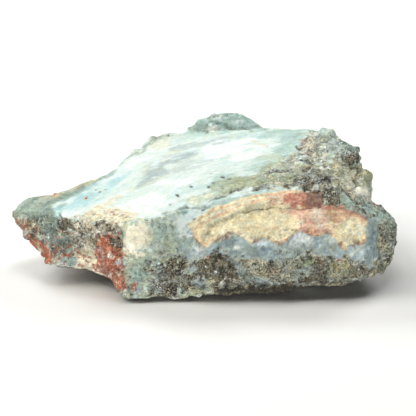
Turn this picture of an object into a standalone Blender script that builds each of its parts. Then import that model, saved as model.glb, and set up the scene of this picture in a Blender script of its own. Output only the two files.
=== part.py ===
"""Rough larimar: one slab of blue pectolite on its host rock, broken out and left unworked.

The slab lies flat. A smooth plate of larimar slopes gently over the top, a bevel and a steep
wall close the front, the left nose overhangs, and the underside rests on a flat sole.

The outline is three lines round the stone, each the edge of a real break: the crest, where the
plate ends; the shoulder, where the bevels turn into walls; and the foot, where the walls turn
under. They are lofted into one body, fused with the knob behind the plate, and then roughened.

Row frame: +X to the right along the slab, +Y to its back, +Z up, and the origin at the middle of
the base. Lengths below are in millimetres.
"""

import math

import bmesh
import bpy
from mathutils import Vector, noise

MM = 0.001

# Driving sizes
PLATE_HEIGHT = 27.0  # top of the plate above the middle of the base
PLATE_RISE = 0.11  # the plate climbs this much for each millimetre to the right
CENTRE = Vector((2.0, -4.0))  # the lines below are star-shaped about this point
CORE_SHARES = (0.15, 0.3, 0.45, 0.6, 0.75, 0.88, 1.0)  # rings of the plate, as shares of its crest
TROUGH_MIDDLE = Vector((-40.0, -10.0))  # the hollow that runs up from the nose
TROUGH_RUN = Vector((0.62, 0.78))
TROUGH_LENGTH = 15.0
TROUGH_WIDTH = 4.5
TROUGH_DEPTH = 1.5
SWELL_WAY = Vector((0.35, -0.94))
SWELL_LENGTH = 4.2
SWELL_WIND = 0.6
SWELL_HEIGHT = 0.22
SWELL_BEND = 17.0
CORNER = Vector((37.0, 19.0))  # host rock that stands proud of the plate
CORNER_REACH = 8.5
CORNER_HEIGHT = 1.0
ROUGH_CORNER = Vector((1.0, 0.45))  # which way the plate gives over to rough rock
ROUGH_FROM = 24.0  # how far along that way it starts
ROUGH_WITHIN = 8.0
PLATE_NORMAL = 0.75  # skin whose normal rises less than this is wall
PLATE_EASE = 0.2
CHIPS = ((8.0, 0.5), (4.0, 0.28))  # broken chips: size across and height
CHIP_SEAM = 0.15
GRAIN_SIZE = 3.5
GRAIN_HEIGHT = 0.3
UNEVEN_SIZE = 9.0  # the plate's own slight unevenness
UNEVEN_HEIGHT = 0.12
DIRECTIONS = 240  # points taken round each line
VOXEL = 0.9  # the lofted body is fused at this fineness
MOST_TRIANGLES = 9200
SOLE_GRIP = 0.35  # anything lower than this is worn flat where the stone rests
STEP_WIDTH = 0.9  # a stepped crust drops to its bed within this

# Where the plate ends, in plan. Its height is the plate's.
CREST = (
    (-60.8, -14.0),
    (-57.0, -19.5),
    (-52.0, -22.5),
    (-47.5, -24.5),
    (-44.0, -28.5),
    (-37.5, -33.0),
    (-33.0, -35.0),
    (-28.0, -37.5),
    (-22.0, -39.0),
    (-16.5, -39.0),
    (-13.5, -38.0),
    (-10.5, -35.0),
    (-6.5, -31.0),
    (-1.5, -29.5),
    (2.0, -27.0),
    (7.5, -23.8),
    (13.5, -22.8),
    (21.0, -24.0),
    (28.5, -25.6),
    (34.8, -28.0),
    (38.5, -24.0),
    (40.0, -16.0),
    (40.0, -8.0),
    (43.0, -4.0),
    (49.2, -2.5),
    (46.8, 4.0),
    (44.6, 12.0),
    (41.8, 18.5),
    (38.5, 25.0),
    (36.0, 26.0),
    (29.0, 31.5),
    (20.0, 33.5),
    (8.5, 35.5),
    (-9.0, 38.5),
    (-17.5, 39.0),
    (-22.5, 33.5),
    (-24.0, 27.5),
    (-27.0, 23.5),
    (-29.0, 17.0),
    (-31.5, 8.5),
    (-35.5, 2.0),
    (-40.5, -1.0),
    (-44.5, -6.0),
    (-58.2, -8.5),
)

# Where the bevels turn into walls
SHOULDER = (
    (-62.2, -14.5, 16.8),
    (-58.0, -21.5, 15.2),
    (-49.5, -27.5, 14.5),
    (-42.0, -31.5, 13.5),
    (-35.0, -35.5, 13.0),
    (-28.0, -38.5, 12.5),
    (-22.5, -40.0, 12.0),
    (-12.0, -39.0, 13.0),
    (-4.5, -39.5, 15.0),
    (1.0, -41.0, 17.0),
    (7.5, -39.5, 20.5),
    (12.0, -40.5, 19.5),
    (21.5, -42.0, 18.5),
    (28.5, -38.5, 22.0),
    (36.0, -38.5, 21.0),
    (41.5, -41.5, 17.0),
    (47.0, -40.0, 18.5),
    (50.0, -36.5, 23.0),
    (54.5, -29.0, 20.5),
    (58.7, -21.5, 17.5),
    (55.0, -20.0, 20.0),
    (50.4, -17.0, 22.4),
    (50.2, -12.0, 25.0),
    (50.6, -5.0, 26.4),
    (47.0, 2.0, 26.0),
    (46.4, 14.0, 25.0),
    (43.0, 23.0, 24.0),
    (37.0, 30.5, 23.0),
    (22.0, 38.5, 22.0),
    (0.0, 42.0, 21.0),
    (-19.0, 42.5, 19.0),
    (-25.5, 34.5, 18.5),
    (-30.0, 26.0, 18.0),
    (-34.0, 14.5, 17.5),
    (-39.0, 6.0, 17.0),
    (-47.0, -2.5, 16.5),
    (-57.0, -7.5, 16.5),
)

# Where the walls turn under
FOOT = (
    (-61.0, -15.5, 14.4),
    (-59.2, -18.0, 12.6),
    (-56.2, -22.5, 10.7),
    (-52.8, -27.0, 8.4),
    (-49.8, -31.5, 6.9),
    (-38.0, -32.0, 6.0),
    (-30.0, -36.0, 5.1),
    (-27.0, -42.0, 2.5),
    (-24.5, -44.2, 1.9),
    (-6.0, -43.8, 1.6),
    (0.0, -43.2, 2.6),
    (6.0, -41.7, 3.3),
    (18.0, -42.2, 3.3),
    (25.5, -42.0, 4.5),
    (39.0, -41.2, 5.5),
    (50.0, -36.5, 5.5),
    (55.3, -30.5, 7.0),
    (57.6, -22.5, 10.8),
    (58.8, -18.5, 13.8),
    (56.0, -10.0, 9.0),
    (52.0, 0.0, 6.0),
    (49.0, 12.0, 3.5),
    (43.0, 24.0, 2.0),
    (30.0, 34.0, 2.0),
    (8.0, 41.0, 3.0),
    (-16.0, 41.5, 3.5),
    (-25.0, 31.0, 3.0),
    (-34.0, 16.0, 4.0),
    (-44.0, 1.0, 7.0),
    (-56.0, -8.5, 12.5),
)

# The flat that the stone rests on
SOLE = (
    (-25.0, -24.0),
    (-22.0, -35.5),
    (-8.0, -36.5),
    (2.0, -33.0),
    (25.0, -31.0),
    (40.0, -28.0),
    (45.0, -12.0),
    (40.0, 12.0),
    (28.0, 25.0),
    (4.0, 32.0),
    (-14.0, 30.0),
    (-24.0, 10.0),
)

# Corners of the knob that stands behind the plate and runs down the back wall
KNOB = (
    (-9.0, 40.0, 26.0),
    (-2.0, 43.0, 30.0),
    (2.5, 43.5, 32.3),
    (10.5, 43.0, 32.3),
    (15.5, 41.0, 29.8),
    (21.5, 38.0, 26.5),
    (0.0, 37.5, 27.5),
    (15.0, 36.5, 28.0),
    (-5.0, 46.0, 23.0),
    (14.0, 46.5, 22.0),
    (-11.0, 45.0, 12.0),
    (19.0, 43.5, 10.0),
    (-13.0, 41.0, 3.0),
    (22.0, 39.5, 3.0),
    (4.0, 30.0, 8.0),
)

# Lumps and ridges (+), hollows and grooves (-): name, the line it runs along, reach and height
RELIEF = (
    ("cream boss", ((-21.0, -39.5, 18.5), (-19.0, -39.5, 16.5)), 5.0, 1.4),
    ("notch beside the boss", ((-25.5, -39.0, 22.5), (-26.5, -38.5, 17.0)), 2.6, -1.3),
    ("rust column", ((-29.0, -38.0, 18.0), (-27.5, -39.5, 10.0), (-25.5, -42.5, 4.0)), 3.4, 1.0),
    ("hollow of the nose wall", ((-46.0, -29.5, 13.0), (-36.0, -34.0, 12.0)), 5.5, -1.3),
    ("dark rim", ((-44.0, -28.5, 20.0), (-37.5, -33.0, 21.0), (-31.5, -36.0, 22.0)), 2.4, 0.6),
    ("nose bump", ((-56.0, -12.5, 20.5), (-52.0, -15.5, 21.0)), 4.0, 0.9),
    ("lip behind the trough", ((-46.0, -4.5, 21.5), (-36.0, 3.0, 23.0)), 3.2, 0.9),
    ("groove of the plate",
     ((-11.0, -34.0, 25.5), (-5.0, -28.5, 26.0), (10.6, -21.2, 27.8), (29.0, -23.6, 30.0)), 1.5, -0.7),
    ("light band below the groove",
     ((-3.5, -30.0, 25.5), (11.0, -24.0, 27.5), (30.0, -25.5, 30.0)), 1.4, 0.4),
    ("hollow under the plate's edge", ((-10.5, -37.0, 20.0), (-6.5, -38.0, 14.0)), 4.0, -0.9),
    ("dark lump", ((-1.5, -40.0, 10.5), (7.5, -40.5, 9.5)), 4.6, 1.7),
    ("slate wedge", ((10.0, -40.0, 11.5), (12.5, -40.0, 8.0)), 2.4, -0.7),
    ("speckled belly", ((15.0, -40.0, 12.0), (22.0, -40.5, 10.5)), 4.0, 0.8),
    ("brown pocket", ((27.0, -40.0, 12.5), (34.0, -40.0, 10.0)), 4.2, -1.5),
    ("end boss", ((40.0, -41.0, 12.0), (47.0, -39.0, 13.0)), 4.0, 0.7),
    ("blue ledge of the base", ((6.0, -42.0, 6.0), (25.0, -42.3, 5.8), (43.5, -40.3, 6.1)), 1.9, 1.0),
    ("lens under the ledge", ((6.0, -39.5, 2.6), (22.0, -39.8, 2.9)), 4.0, 0.9),
    ("speckled bump", ((32.0, -21.0, 30.8), (37.5, -20.0, 31.0)), 3.8, 1.3),
    ("trough before the bump", ((24.5, -18.0, 29.5), (29.0, -19.5, 29.8)), 3.4, -0.7),
    ("cream hollow", ((45.5, -12.0, 27.5), (47.0, -5.0, 28.0)), 4.0, -0.7),
    ("crack behind the cream", ((44.5, -19.0, 27.0), (47.5, -11.0, 27.0), (49.0, -4.0, 28.0)), 1.4, -0.6),
    ("ridge of the right shelf", ((40.5, -23.0, 28.0), (48.0, -21.0, 24.5), (55.5, -21.5, 20.5)), 2.0, 0.7),
    ("grey lumps of the corner", ((27.0, 6.0, 30.5), (33.0, 13.0, 31.5)), 3.0, 0.8),
    ("hollow of the corner", ((33.5, 1.0, 31.0), (40.0, 8.0, 31.5)), 3.2, -0.8),
    ("dark edge of the corner", ((43.5, -1.5, 31.5), (45.5, 8.0, 31.5)), 2.6, 0.7),
    ("bite in the left edge", ((-24.0, 30.0, 22.0), (-24.5, 31.0, 18.0)), 3.0, -1.2),
    ("bite in the back", ((-31.0, 14.0, 21.0), (-33.0, 16.0, 15.0)), 3.0, -1.2),
    ("gap before the knob", ((-4.0, 38.5, 27.5), (16.0, 37.0, 29.0)), 2.2, -0.9),
    ("ledge of the back wall", ((-14.0, 42.5, 12.0), (8.0, 43.5, 10.0), (30.0, 36.5, 9.0)), 3.4, 1.3),
    ("hollow of the back wall", ((24.0, 39.0, 17.0), (36.0, 32.0, 16.0)), 4.5, -1.5),
    ("hollow of the left flank", ((-38.0, 8.0, 11.0), (-31.0, 20.0, 9.0)), 5.0, -1.4),
    ("hollow under the middle", ((-6.0, -8.0, 0.0), (12.0, 4.0, 0.0)), 13.0, -2.4),
    ("hollow under the right side", ((40.0, -6.0, 0.0), (32.0, 14.0, 0.0)), 9.0, -1.8),
    ("hollow under the back", ((-16.0, 22.0, 0.0), (-4.0, 27.0, 0.0)), 8.0, -1.5),
    ("groove under the stone", ((20.0, -34.0, 0.0), (24.0, -14.0, 0.0), (18.0, 20.0, 0.0)), 5.0, -1.1),
)

# Crusts that end in a step: name, the line of the step, which way the high side lies, how far
# the crust reaches back from it, and its height
STEPS = (
    ("upper strip", ((7.7, -31.7, 24.0), (13.4, -29.4, 25.0), (21.5, -30.2, 25.6), (35.0, -30.6, 25.8)),
     (0.0, 0.6, 0.8), 3.5, 0.9),
    ("end of the upper strip", ((35.3, -27.0, 30.6), (35.3, -30.8, 25.6)), (-1.0, 0.0, 0.0), 4.0, 1.1),
    ("tan crust", ((-4.9, -33.3, 22.1), (-2.8, -36.5, 19.5), (-0.4, -39.5, 17.2), (3.1, -40.3, 18.6),
                   (7.6, -38.5, 21.0), (13.2, -40.2, 18.2), (18.5, -39.5, 19.8), (20.5, -41.1, 18.3),
                   (28.6, -38.1, 22.1), (32.2, -38.6, 19.7), (36.8, -36.5, 20.8), (41.3, -41.3, 16.1),
                   (44.6, -40.1, 18.5), (47.7, -38.6, 18.8)), (0.0, -0.3, 0.95), 4.0, 0.7),
    ("edge of the cream rock", ((42.5, -17.0, 28.5), (43.5, -9.0, 29.5), (45.5, -4.5, 30.5)),
     (-0.9, 0.3, 0.3), 4.0, 0.8),
)


def plate_height(x, y):
    """The top of the plate: a tilted plane with a trough, low swells and one raised corner."""
    height = PLATE_HEIGHT + PLATE_RISE * x
    place = Vector((x, y))
    from_trough = place - TROUGH_MIDDLE
    across = from_trough.cross(TROUGH_RUN) / TROUGH_WIDTH
    along = from_trough.dot(TROUGH_RUN) / TROUGH_LENGTH
    height -= TROUGH_DEPTH * math.exp(-(across ** 2) - along ** 2)
    # The fibres grew in low swells that cross the plate on a winding line.
    winding = SWELL_WIND * math.sin(x / SWELL_BEND)
    height += SWELL_HEIGHT * math.sin(place.dot(SWELL_WAY) / SWELL_LENGTH + winding)
    from_corner = place - CORNER
    height += CORNER_HEIGHT * math.exp(-((from_corner.length / CORNER_REACH) ** 2))
    return height


def point_at(line, angle):
    """The point of a closed line in the direction of angle, seen from CENTRE."""
    toward = Vector((math.cos(angle), math.sin(angle)))
    across = Vector((-toward.y, toward.x))
    best = None
    for start, end in zip(line, line[1:] + line[:1]):
        a, b = Vector(start[:2]) - CENTRE, Vector(end[:2]) - CENTRE
        side_a, side_b = a.dot(across), b.dot(across)
        if (side_a <= 0) == (side_b <= 0):
            continue
        share = side_a / (side_a - side_b)
        reach = a.lerp(b, share).dot(toward)
        if reach > 0 and (best is None or reach > best[0]):
            best = reach, Vector(start).lerp(Vector(end), share)
    return best[1]


def ring_of(line, height=None, share=1.0):
    """Points round a line, drawn in to a share of their reach from CENTRE."""
    points = []
    for step in range(DIRECTIONS):
        point = point_at(line, 2 * math.pi * step / DIRECTIONS)
        plan = CENTRE + (Vector(point[:2]) - CENTRE) * share
        points.append(Vector((plan.x, plan.y, point[2] if height is None else height(*plan))))
    return points


def lofted_body():
    """The slab as one closed mesh: plate, bevels, walls and sole."""
    rings = [ring_of(CREST, plate_height, share) for share in CORE_SHARES]
    rings.append(ring_of(SHOULDER))
    rings.append(ring_of(FOOT))
    rings += [ring_of(SOLE, lambda x, y: 0.0, share) for share in (1.0, 0.5)]
    body = bmesh.new()
    loops = [[body.verts.new(point) for point in ring] for ring in rings]
    for upper, lower in zip(loops, loops[1:]):
        for step in range(DIRECTIONS):
            after = (step + 1) % DIRECTIONS
            body.faces.new((upper[after], upper[step], lower[step], lower[after]))
    body.faces.new(loops[0])
    body.faces.new(reversed(loops[-1]))
    bmesh.ops.triangulate(body, faces=[face for face in body.faces if len(face.verts) > 4])
    return body


def add_knob(body):
    """The knob's corners, wrapped in their convex hull."""
    corners = [body.verts.new(corner) for corner in KNOB]
    wrapped = bmesh.ops.convex_hull(body, input=corners)
    inside = [item for item in wrapped["geom_interior"] if isinstance(item, bmesh.types.BMVert)]
    bmesh.ops.delete(body, geom=inside, context="VERTS")


def evaluated_mesh(obj):
    """The object's mesh with its modifiers applied."""
    graph = bpy.context.evaluated_depsgraph_get()
    graph.update()
    return bpy.data.meshes.new_from_object(obj.evaluated_get(graph))


def fused(mesh):
    """The masses of a mesh joined into one even skin."""
    holder = bpy.data.objects.new("masses", mesh)
    bpy.context.scene.collection.objects.link(holder)
    remesh = holder.modifiers.new("fuse", "REMESH")
    remesh.mode = "VOXEL"
    remesh.voxel_size = VOXEL
    skin = evaluated_mesh(holder)
    bpy.data.objects.remove(holder)
    return skin


def plate_share(point, normal):
    """1 on the smooth larimar of the plate, 0 on rough rock."""
    up = min(1.0, max(0.0, (normal.z - PLATE_NORMAL) / PLATE_EASE))
    into_corner = (Vector(point[:2]).dot(ROUGH_CORNER) - ROUGH_FROM) / ROUGH_WITHIN
    return up * min(1.0, max(0.0, 1.0 - into_corner))


def chips(point, size):
    """Low flat chips, each tilted its own way, about size across."""
    distances, seeds = noise.voronoi(point / size)
    heights = []
    for seed in seeds[:2]:
        tilt = noise.cell_vector(seed * 7.3) * 2.0 - Vector((1.0, 1.0, 1.0))
        heights.append((point / size - seed).dot(tilt))
    share = 0.5 + 0.5 * min(1.0, (distances[1] - distances[0]) / CHIP_SEAM)
    return heights[0] * share + heights[1] * (1.0 - share)


def nearest_on(path, point):
    """The nearest place to a point on a line of points."""
    best = None
    for start, end in zip(path, path[1:]):
        a, b = Vector(start), Vector(end)
        share = min(1.0, max(0.0, (point - a).dot(b - a) / (b - a).length_squared))
        place = a.lerp(b, share)
        if best is None or (point - place).length < (point - best).length:
            best = place
    return best


def relief(point):
    """The height that the lumps, grooves and stepped crusts add at a point."""
    total = 0.0
    for _, path, reach, height in RELIEF:
        apart = (point - nearest_on(path, point)).length / reach
        if apart < 1.6:
            total += height * math.exp(-2.2 * apart * apart)
    for _, path, high_side, reach, height in STEPS:
        away = point - nearest_on(path, point)
        if away.length > 2.0 * reach:
            continue
        above = away.dot(Vector(high_side)) + STEP_WIDTH
        rise = min(1.0, max(0.0, above / STEP_WIDTH))
        total += height * rise * math.exp(-((away.length / reach) ** 2))
    return total


def roughness(point, normal):
    """How far the broken surface stands proud of the plain skin."""
    smooth = plate_share(point, normal)
    rough = GRAIN_HEIGHT * noise.fractal(point / GRAIN_SIZE, 1.0, 2.0, 3)
    for size, height in CHIPS:
        rough += height * chips(point, size)
    gentle = UNEVEN_HEIGHT * noise.fractal(point / UNEVEN_SIZE, 1.0, 2.0, 2)
    return smooth * gentle + (1.0 - smooth) * rough + relief(point)


def roughened(mesh):
    """The skin broken up as rock breaks, still sitting flat on its sole."""
    skin = bmesh.new()
    skin.from_mesh(mesh)
    skin.normal_update()
    moves = [vert.normal * roughness(vert.co, vert.normal) for vert in skin.verts]
    for vert, move in zip(skin.verts, moves):
        vert.co += move
    skin.to_mesh(mesh)
    skin.free()


def thinned(mesh):
    """The same skin with few enough triangles."""
    holder = bpy.data.objects.new("skin", mesh)
    bpy.context.scene.collection.objects.link(holder)
    triangulate = holder.modifiers.new("triangles", "TRIANGULATE")
    triangulate.min_vertices = 4
    decimate = holder.modifiers.new("thin", "DECIMATE")
    decimate.ratio = MOST_TRIANGLES / (2.0 * len(mesh.polygons))
    thin = evaluated_mesh(holder)
    bpy.data.objects.remove(holder)
    return thin


def set_down(mesh):
    """The stone moved over the origin, in metres, with a worn flat where it rests."""
    xs = [vert.co.x for vert in mesh.vertices]
    ys = [vert.co.y for vert in mesh.vertices]
    middle = Vector(((min(xs) + max(xs)) / 2, (min(ys) + max(ys)) / 2, 0.0))
    for vert in mesh.vertices:
        place = vert.co - middle
        place.z = 0.0 if place.z < SOLE_GRIP else place.z - SOLE_GRIP
        vert.co = place * MM
    mesh.update()


def larimar_material():
    """Pale blue larimar, satin."""
    material = bpy.data.materials.new("larimar")
    material.use_nodes = True
    shader = material.node_tree.nodes["Principled BSDF"]
    shader.inputs["Base Color"].default_value = (0.45, 0.58, 0.58, 1.0)
    shader.inputs["Roughness"].default_value = 0.55
    shader.inputs["Metallic"].default_value = 0.0
    return material


def clear_scene():
    for obj in list(bpy.data.objects):
        bpy.data.objects.remove(obj)


def main():
    clear_scene()
    body = lofted_body()
    add_knob(body)
    mesh = bpy.data.meshes.new("larimar_stone")
    body.to_mesh(mesh)
    body.free()
    mesh = fused(mesh)
    roughened(mesh)
    mesh = thinned(mesh)
    set_down(mesh)
    stone = bpy.data.objects.new("larimar_stone", mesh)
    stone.data.materials.clear()
    stone.data.materials.append(larimar_material())
    group = bpy.data.collections.new("rough_larimar")
    bpy.context.scene.collection.children.link(group)
    group.objects.link(stone)


main()
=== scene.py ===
# %% [markdown]
# # A rough slab of larimar
#
# Larimar is blue pectolite, a mineral that fills seams in old lava. This slab was broken out of its
# seam and left unworked. On top is the smooth plate of larimar, and round its edges the lava that
# held it: grey-green rock with black specks, a crust of tan and brick red, and a column of rust.
#
# The whole stone is one piece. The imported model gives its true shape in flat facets, and this lesson
# gives it the surface of a broken stone: first finer relief, then the minerals, then the light.

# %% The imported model
import math

import bmesh
import bpy
import numpy as np
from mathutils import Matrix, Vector, noise


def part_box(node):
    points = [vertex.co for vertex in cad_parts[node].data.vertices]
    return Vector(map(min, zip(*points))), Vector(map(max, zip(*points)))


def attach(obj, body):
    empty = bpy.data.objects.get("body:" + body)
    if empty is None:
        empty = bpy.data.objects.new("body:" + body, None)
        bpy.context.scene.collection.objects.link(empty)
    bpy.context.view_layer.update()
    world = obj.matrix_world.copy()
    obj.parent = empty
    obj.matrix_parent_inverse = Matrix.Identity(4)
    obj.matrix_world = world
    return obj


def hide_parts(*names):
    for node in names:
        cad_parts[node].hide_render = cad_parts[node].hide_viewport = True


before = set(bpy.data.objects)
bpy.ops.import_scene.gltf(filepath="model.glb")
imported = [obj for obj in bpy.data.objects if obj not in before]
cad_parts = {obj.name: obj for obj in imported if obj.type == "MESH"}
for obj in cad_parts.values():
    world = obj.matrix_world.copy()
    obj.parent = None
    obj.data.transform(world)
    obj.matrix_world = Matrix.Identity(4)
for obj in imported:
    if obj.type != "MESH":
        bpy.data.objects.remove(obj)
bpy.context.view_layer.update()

MM = 0.001
NODE = "larimar_stone"
low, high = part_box(NODE)
print("the stone measures", [round((b - a) / MM, 1) for a, b in zip(low, high)], "mm")

# %% [markdown]
# ## The camera
#
# The stone was photographed from the front, from a little above the table, with a long lens. The
# camera comes first, because the places of the minerals are read from the photograph: each spot on
# the stone is found by the pixel where this camera sees it. The pixels are those of a square picture
# 416 pixels wide.

# %% Camera
PICTURE = 416
LENS = 120.0
SENSOR = 36.0
LOOK_DOWN = math.radians(22.0)
DISTANCE = 0.450
TARGET = Vector((0.0013, -0.0010, 0.0129))

forward = Vector((0.0, math.cos(LOOK_DOWN), -math.sin(LOOK_DOWN)))
upward = Vector((0.0, math.sin(LOOK_DOWN), math.cos(LOOK_DOWN)))
camera = bpy.data.objects.new("camera", bpy.data.cameras.new("camera"))
bpy.context.scene.collection.objects.link(camera)
camera.data.lens = LENS
camera.data.sensor_width = SENSOR
camera.data.clip_start = 0.01
camera.location = TARGET - forward * DISTANCE
camera.rotation_mode = "QUATERNION"
camera.rotation_quaternion = forward.to_track_quat("-Z", "Y")
bpy.context.scene.camera = camera


def seen_at(places):
    """The pixels where the camera sees places on the stone, given in metres."""
    away = places - np.array(camera.location)
    depth = away @ np.array(forward)
    scale = LENS / SENSOR * PICTURE / depth
    return PICTURE / 2 + scale * away[:, 0], PICTURE / 2 - scale * (away @ np.array(upward))


middle = np.array([[0.0, 0.0, 0.015]])
print("the middle of the stone shows at pixel", [round(float(part[0])) for part in seen_at(middle)])

# %% [markdown]
# ## A finer skin
#
# Flat facets two millimetres wide are too coarse for a rock. The skin could be subdivided, but its
# long thin triangles would stay in the shape. So a copy of the solid is remeshed into small even
# squares and smoothed until the facets are gone. Later steps put the real roughness back.

# %% Remeshed copy
SKIN = 0.85 * MM
SMOOTHINGS = 4
EVERY_WAY = dict(use_axis_x=True, use_axis_y=True, use_axis_z=True)


def evaluated(piece):
    """The piece's mesh with its modifiers applied."""
    graph = bpy.context.evaluated_depsgraph_get()
    graph.update()
    return bpy.data.meshes.new_from_object(piece.evaluated_get(graph))


shell = bmesh.new()
shell.from_mesh(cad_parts[NODE].data)
bmesh.ops.remove_doubles(shell, verts=shell.verts, dist=0.001 * MM)
stone = bpy.data.objects.new("larimar_slab", bpy.data.meshes.new("larimar_slab"))
shell.to_mesh(stone.data)
shell.free()
bpy.context.scene.collection.objects.link(stone)
remesh = stone.modifiers.new("even squares", "REMESH")
remesh.mode = "VOXEL"
remesh.voxel_size = SKIN
stone.data = evaluated(stone)
stone.modifiers.clear()

skin = bmesh.new()
skin.from_mesh(stone.data)
for _ in range(SMOOTHINGS):
    bmesh.ops.smooth_vert(skin, verts=skin.verts, factor=0.5, **EVERY_WAY)
print("remeshed into", len(skin.faces), "squares")

# %% [markdown]
# ## Finer where it shows
#
# The squares that the camera sees are cut in four, so that chips, pits and grains a millimetre wide
# can be real shapes. The hidden side keeps the coarser ones, and the piece stays light.

# %% Cut the squares that show in four
PAST_EDGE = 0.12
CUT_SMOOTHINGS = 2


def shows(face):
    """True where the camera sees the stone, and a little past its edge."""
    return face.normal.dot(forward) < PAST_EDGE


skin.normal_update()
front_squares = [face for face in skin.faces if shows(face)]
edges = list({edge for face in front_squares for edge in face.edges})
bmesh.ops.subdivide_edges(skin, edges=edges, cuts=1, use_grid_fill=True)
for _ in range(CUT_SMOOTHINGS):
    bmesh.ops.smooth_vert(skin, verts=skin.verts, factor=0.5, **EVERY_WAY)
skin.to_mesh(stone.data)
skin.free()
triangles = sum(len(face.vertices) - 2 for face in stone.data.polygons)
print("cut", len(front_squares), "squares:", triangles, "triangles in all")

# %% [markdown]
# ## Places, directions and noise
#
# The next steps work on all the points at once, as arrays: where each point is, which way the
# surface faces there, and where the camera sees it. Noise that depends on the place alone makes
# everything that is irregular, so the stone comes out the same each time.

# %% Arrays of the points
count = len(stone.data.vertices)
place = np.empty(count * 3)
stone.data.vertices.foreach_get("co", place)
place = place.reshape(-1, 3)
facing = np.empty(count * 3)
stone.data.vertices.foreach_get("normal", facing)
facing = facing.reshape(-1, 3)
mm = place / MM
across, down = seen_at(place)
toward = camera.location - TARGET
toward = np.array(toward.normalized())
shown = facing @ toward


FAN = (28.0, -48.0)  # the fibres of the plate lie on arcs round this spot, in millimetres
FAN_REACH = 60.0  # a turn of one radian round it counts as this many millimetres
TILT_SEED = 7.3  # spreads the tilts of the chips


def ease(value, start, end):
    """0 before start, 1 after end, and a soft step between them."""
    share = np.clip((value - start) / (end - start), 0.0, 1.0)
    return share * share * (3.0 - 2.0 * share)


def cloud(size, octaves=3, shift=0.0, spots=None):
    """Soft noise from about -1 to 1, with lumps about size millimetres across."""
    spots = (mm if spots is None else spots) / size + shift
    return np.array([noise.fractal(spot, 1.0, 2.0, octaves) for spot in spots.tolist()])


def streaks(width, length, octaves=3, shift=0.0):
    """Noise drawn out along the fibres."""
    out = mm[:, :2] - np.array(FAN)
    reach = np.hypot(out[:, 0], out[:, 1])
    along = np.arctan2(out[:, 1], out[:, 0]) * FAN_REACH
    spots = np.stack([reach / width, along / length, 0.2 * mm[:, 2]], axis=1)
    return cloud(1.0, octaves, shift, spots)


def chips(size, shift=0.0):
    """Heights of flat chips of about size millimetres, each tilted its own way."""
    heights = []
    for spot in (mm / size + shift).tolist():
        spot = Vector(spot)
        _, middles = noise.voronoi(spot)
        tilt = noise.cell_vector(middles[0] * TILT_SEED) * 2.0 - Vector((1.0, 1.0, 1.0))
        heights.append((spot - middles[0]).dot(tilt))
    return np.array(heights)


print("points that face the camera:", int((shown > 0).sum()))

# %% [markdown]
# ## Outlines
#
# A mineral's patch is given by its outline in the picture: a closed outline, a line of some width,
# or an oval. Each returns how far inside it a pixel lies, so an edge can be as crisp or as soft as
# the real one.

# %% Shapes of patches


def apart_from(sides, u, v):
    """How far pixels lie from the nearest of some straight sides."""
    apart = np.full(len(u), np.inf)
    for (u0, v0), (u1, v1) in sides:
        run = (u1 - u0) ** 2 + (v1 - v0) ** 2
        share = np.clip(((u - u0) * (u1 - u0) + (v - v0) * (v1 - v0)) / run, 0.0, 1.0)
        apart = np.minimum(apart, np.hypot(u - u0 - share * (u1 - u0), v - v0 - share * (v1 - v0)))
    return apart


def outline(*corners):
    """A closed outline through corners."""
    sides = list(zip(corners, corners[1:] + corners[:1]))

    def inside(u, v):
        within = np.zeros(len(u), bool)
        for (u0, v0), (u1, v1) in sides:
            crosses = (v0 > v) != (v1 > v)
            with np.errstate(divide="ignore", invalid="ignore"):
                within ^= crosses & (u < (u1 - u0) * (v - v0) / (v1 - v0) + u0)
        apart = apart_from(sides, u, v)
        return np.where(within, apart, -apart)
    return inside


def line(width, *corners):
    """A line through corners, of some width."""
    sides = list(zip(corners, corners[1:]))
    return lambda u, v: width / 2 - apart_from(sides, u, v)


def oval(u0, v0, reach_u, reach_v, tilt=0.0):
    """An oval round (u0, v0), its long side turned tilt degrees up to the right."""
    cos, sin = math.cos(math.radians(tilt)), math.sin(math.radians(tilt))

    def inside(u, v):
        along = ((u - u0) * cos - (v - v0) * sin) / reach_u
        aside = ((u - u0) * sin + (v - v0) * cos) / reach_v
        return (1.0 - np.hypot(along, aside)) * min(reach_u, reach_v)
    return inside


print("a pixel 3 inside an oval:", oval(10, 10, 8, 5)(np.array([10.0]), np.array([8.0])))

# %% [markdown]
# ## The minerals
#
# Each mineral has a colour and an accent, a second colour that is mixed in as small grains, and a
# character: how many dark specks, rust specks and white flecks it holds, how fibrous and how grainy
# it is, how rough it broke, and how far it stands proud. A mineral that only stains another leaves
# out what it doesn't change. Each also says how ragged the edge of its patches is.

# %% Minerals
FIELDS = ("red", "green", "blue", "accent red", "accent green", "accent blue", "share", "specks", "rust",
          "flecks", "fibre", "grain", "rough", "gloss", "lift", "veins")
SOFT = dict(specks=0.0, rust=0.0, flecks=0.0, veins=0.0, lift=0.0)
ROCK = dict(rust=0.0, fibre=0.0, grain=0.8, rough=0.9, gloss=0.05, lift=0.0)
CRUMBLY = dict(specks=0.0, rust=0.0, veins=0.0, fibre=0.25, gloss=0.0, lift=0.45)


def linear(channel):
    """A screen colour's channel, 0 to 255, as an amount of light."""
    share = channel / 255.0
    return share / 12.92 if share <= 0.04045 else ((share + 0.055) / 1.055) ** 2.4


def mineral(ragged, colour=None, accent=None, share=None, **character):
    """How ragged a patch's edge is, and the fields it sets, with the colours split in three."""
    fields = dict(character)
    for names, channels in ((FIELDS[0:3], colour), (FIELDS[3:6], accent)):
        if channels:
            fields.update(zip(names, (linear(channel) for channel in channels)))
    if share is not None:
        fields["share"] = share
    return ragged, {FIELDS.index(name): value for name, value in fields.items()}


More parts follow.
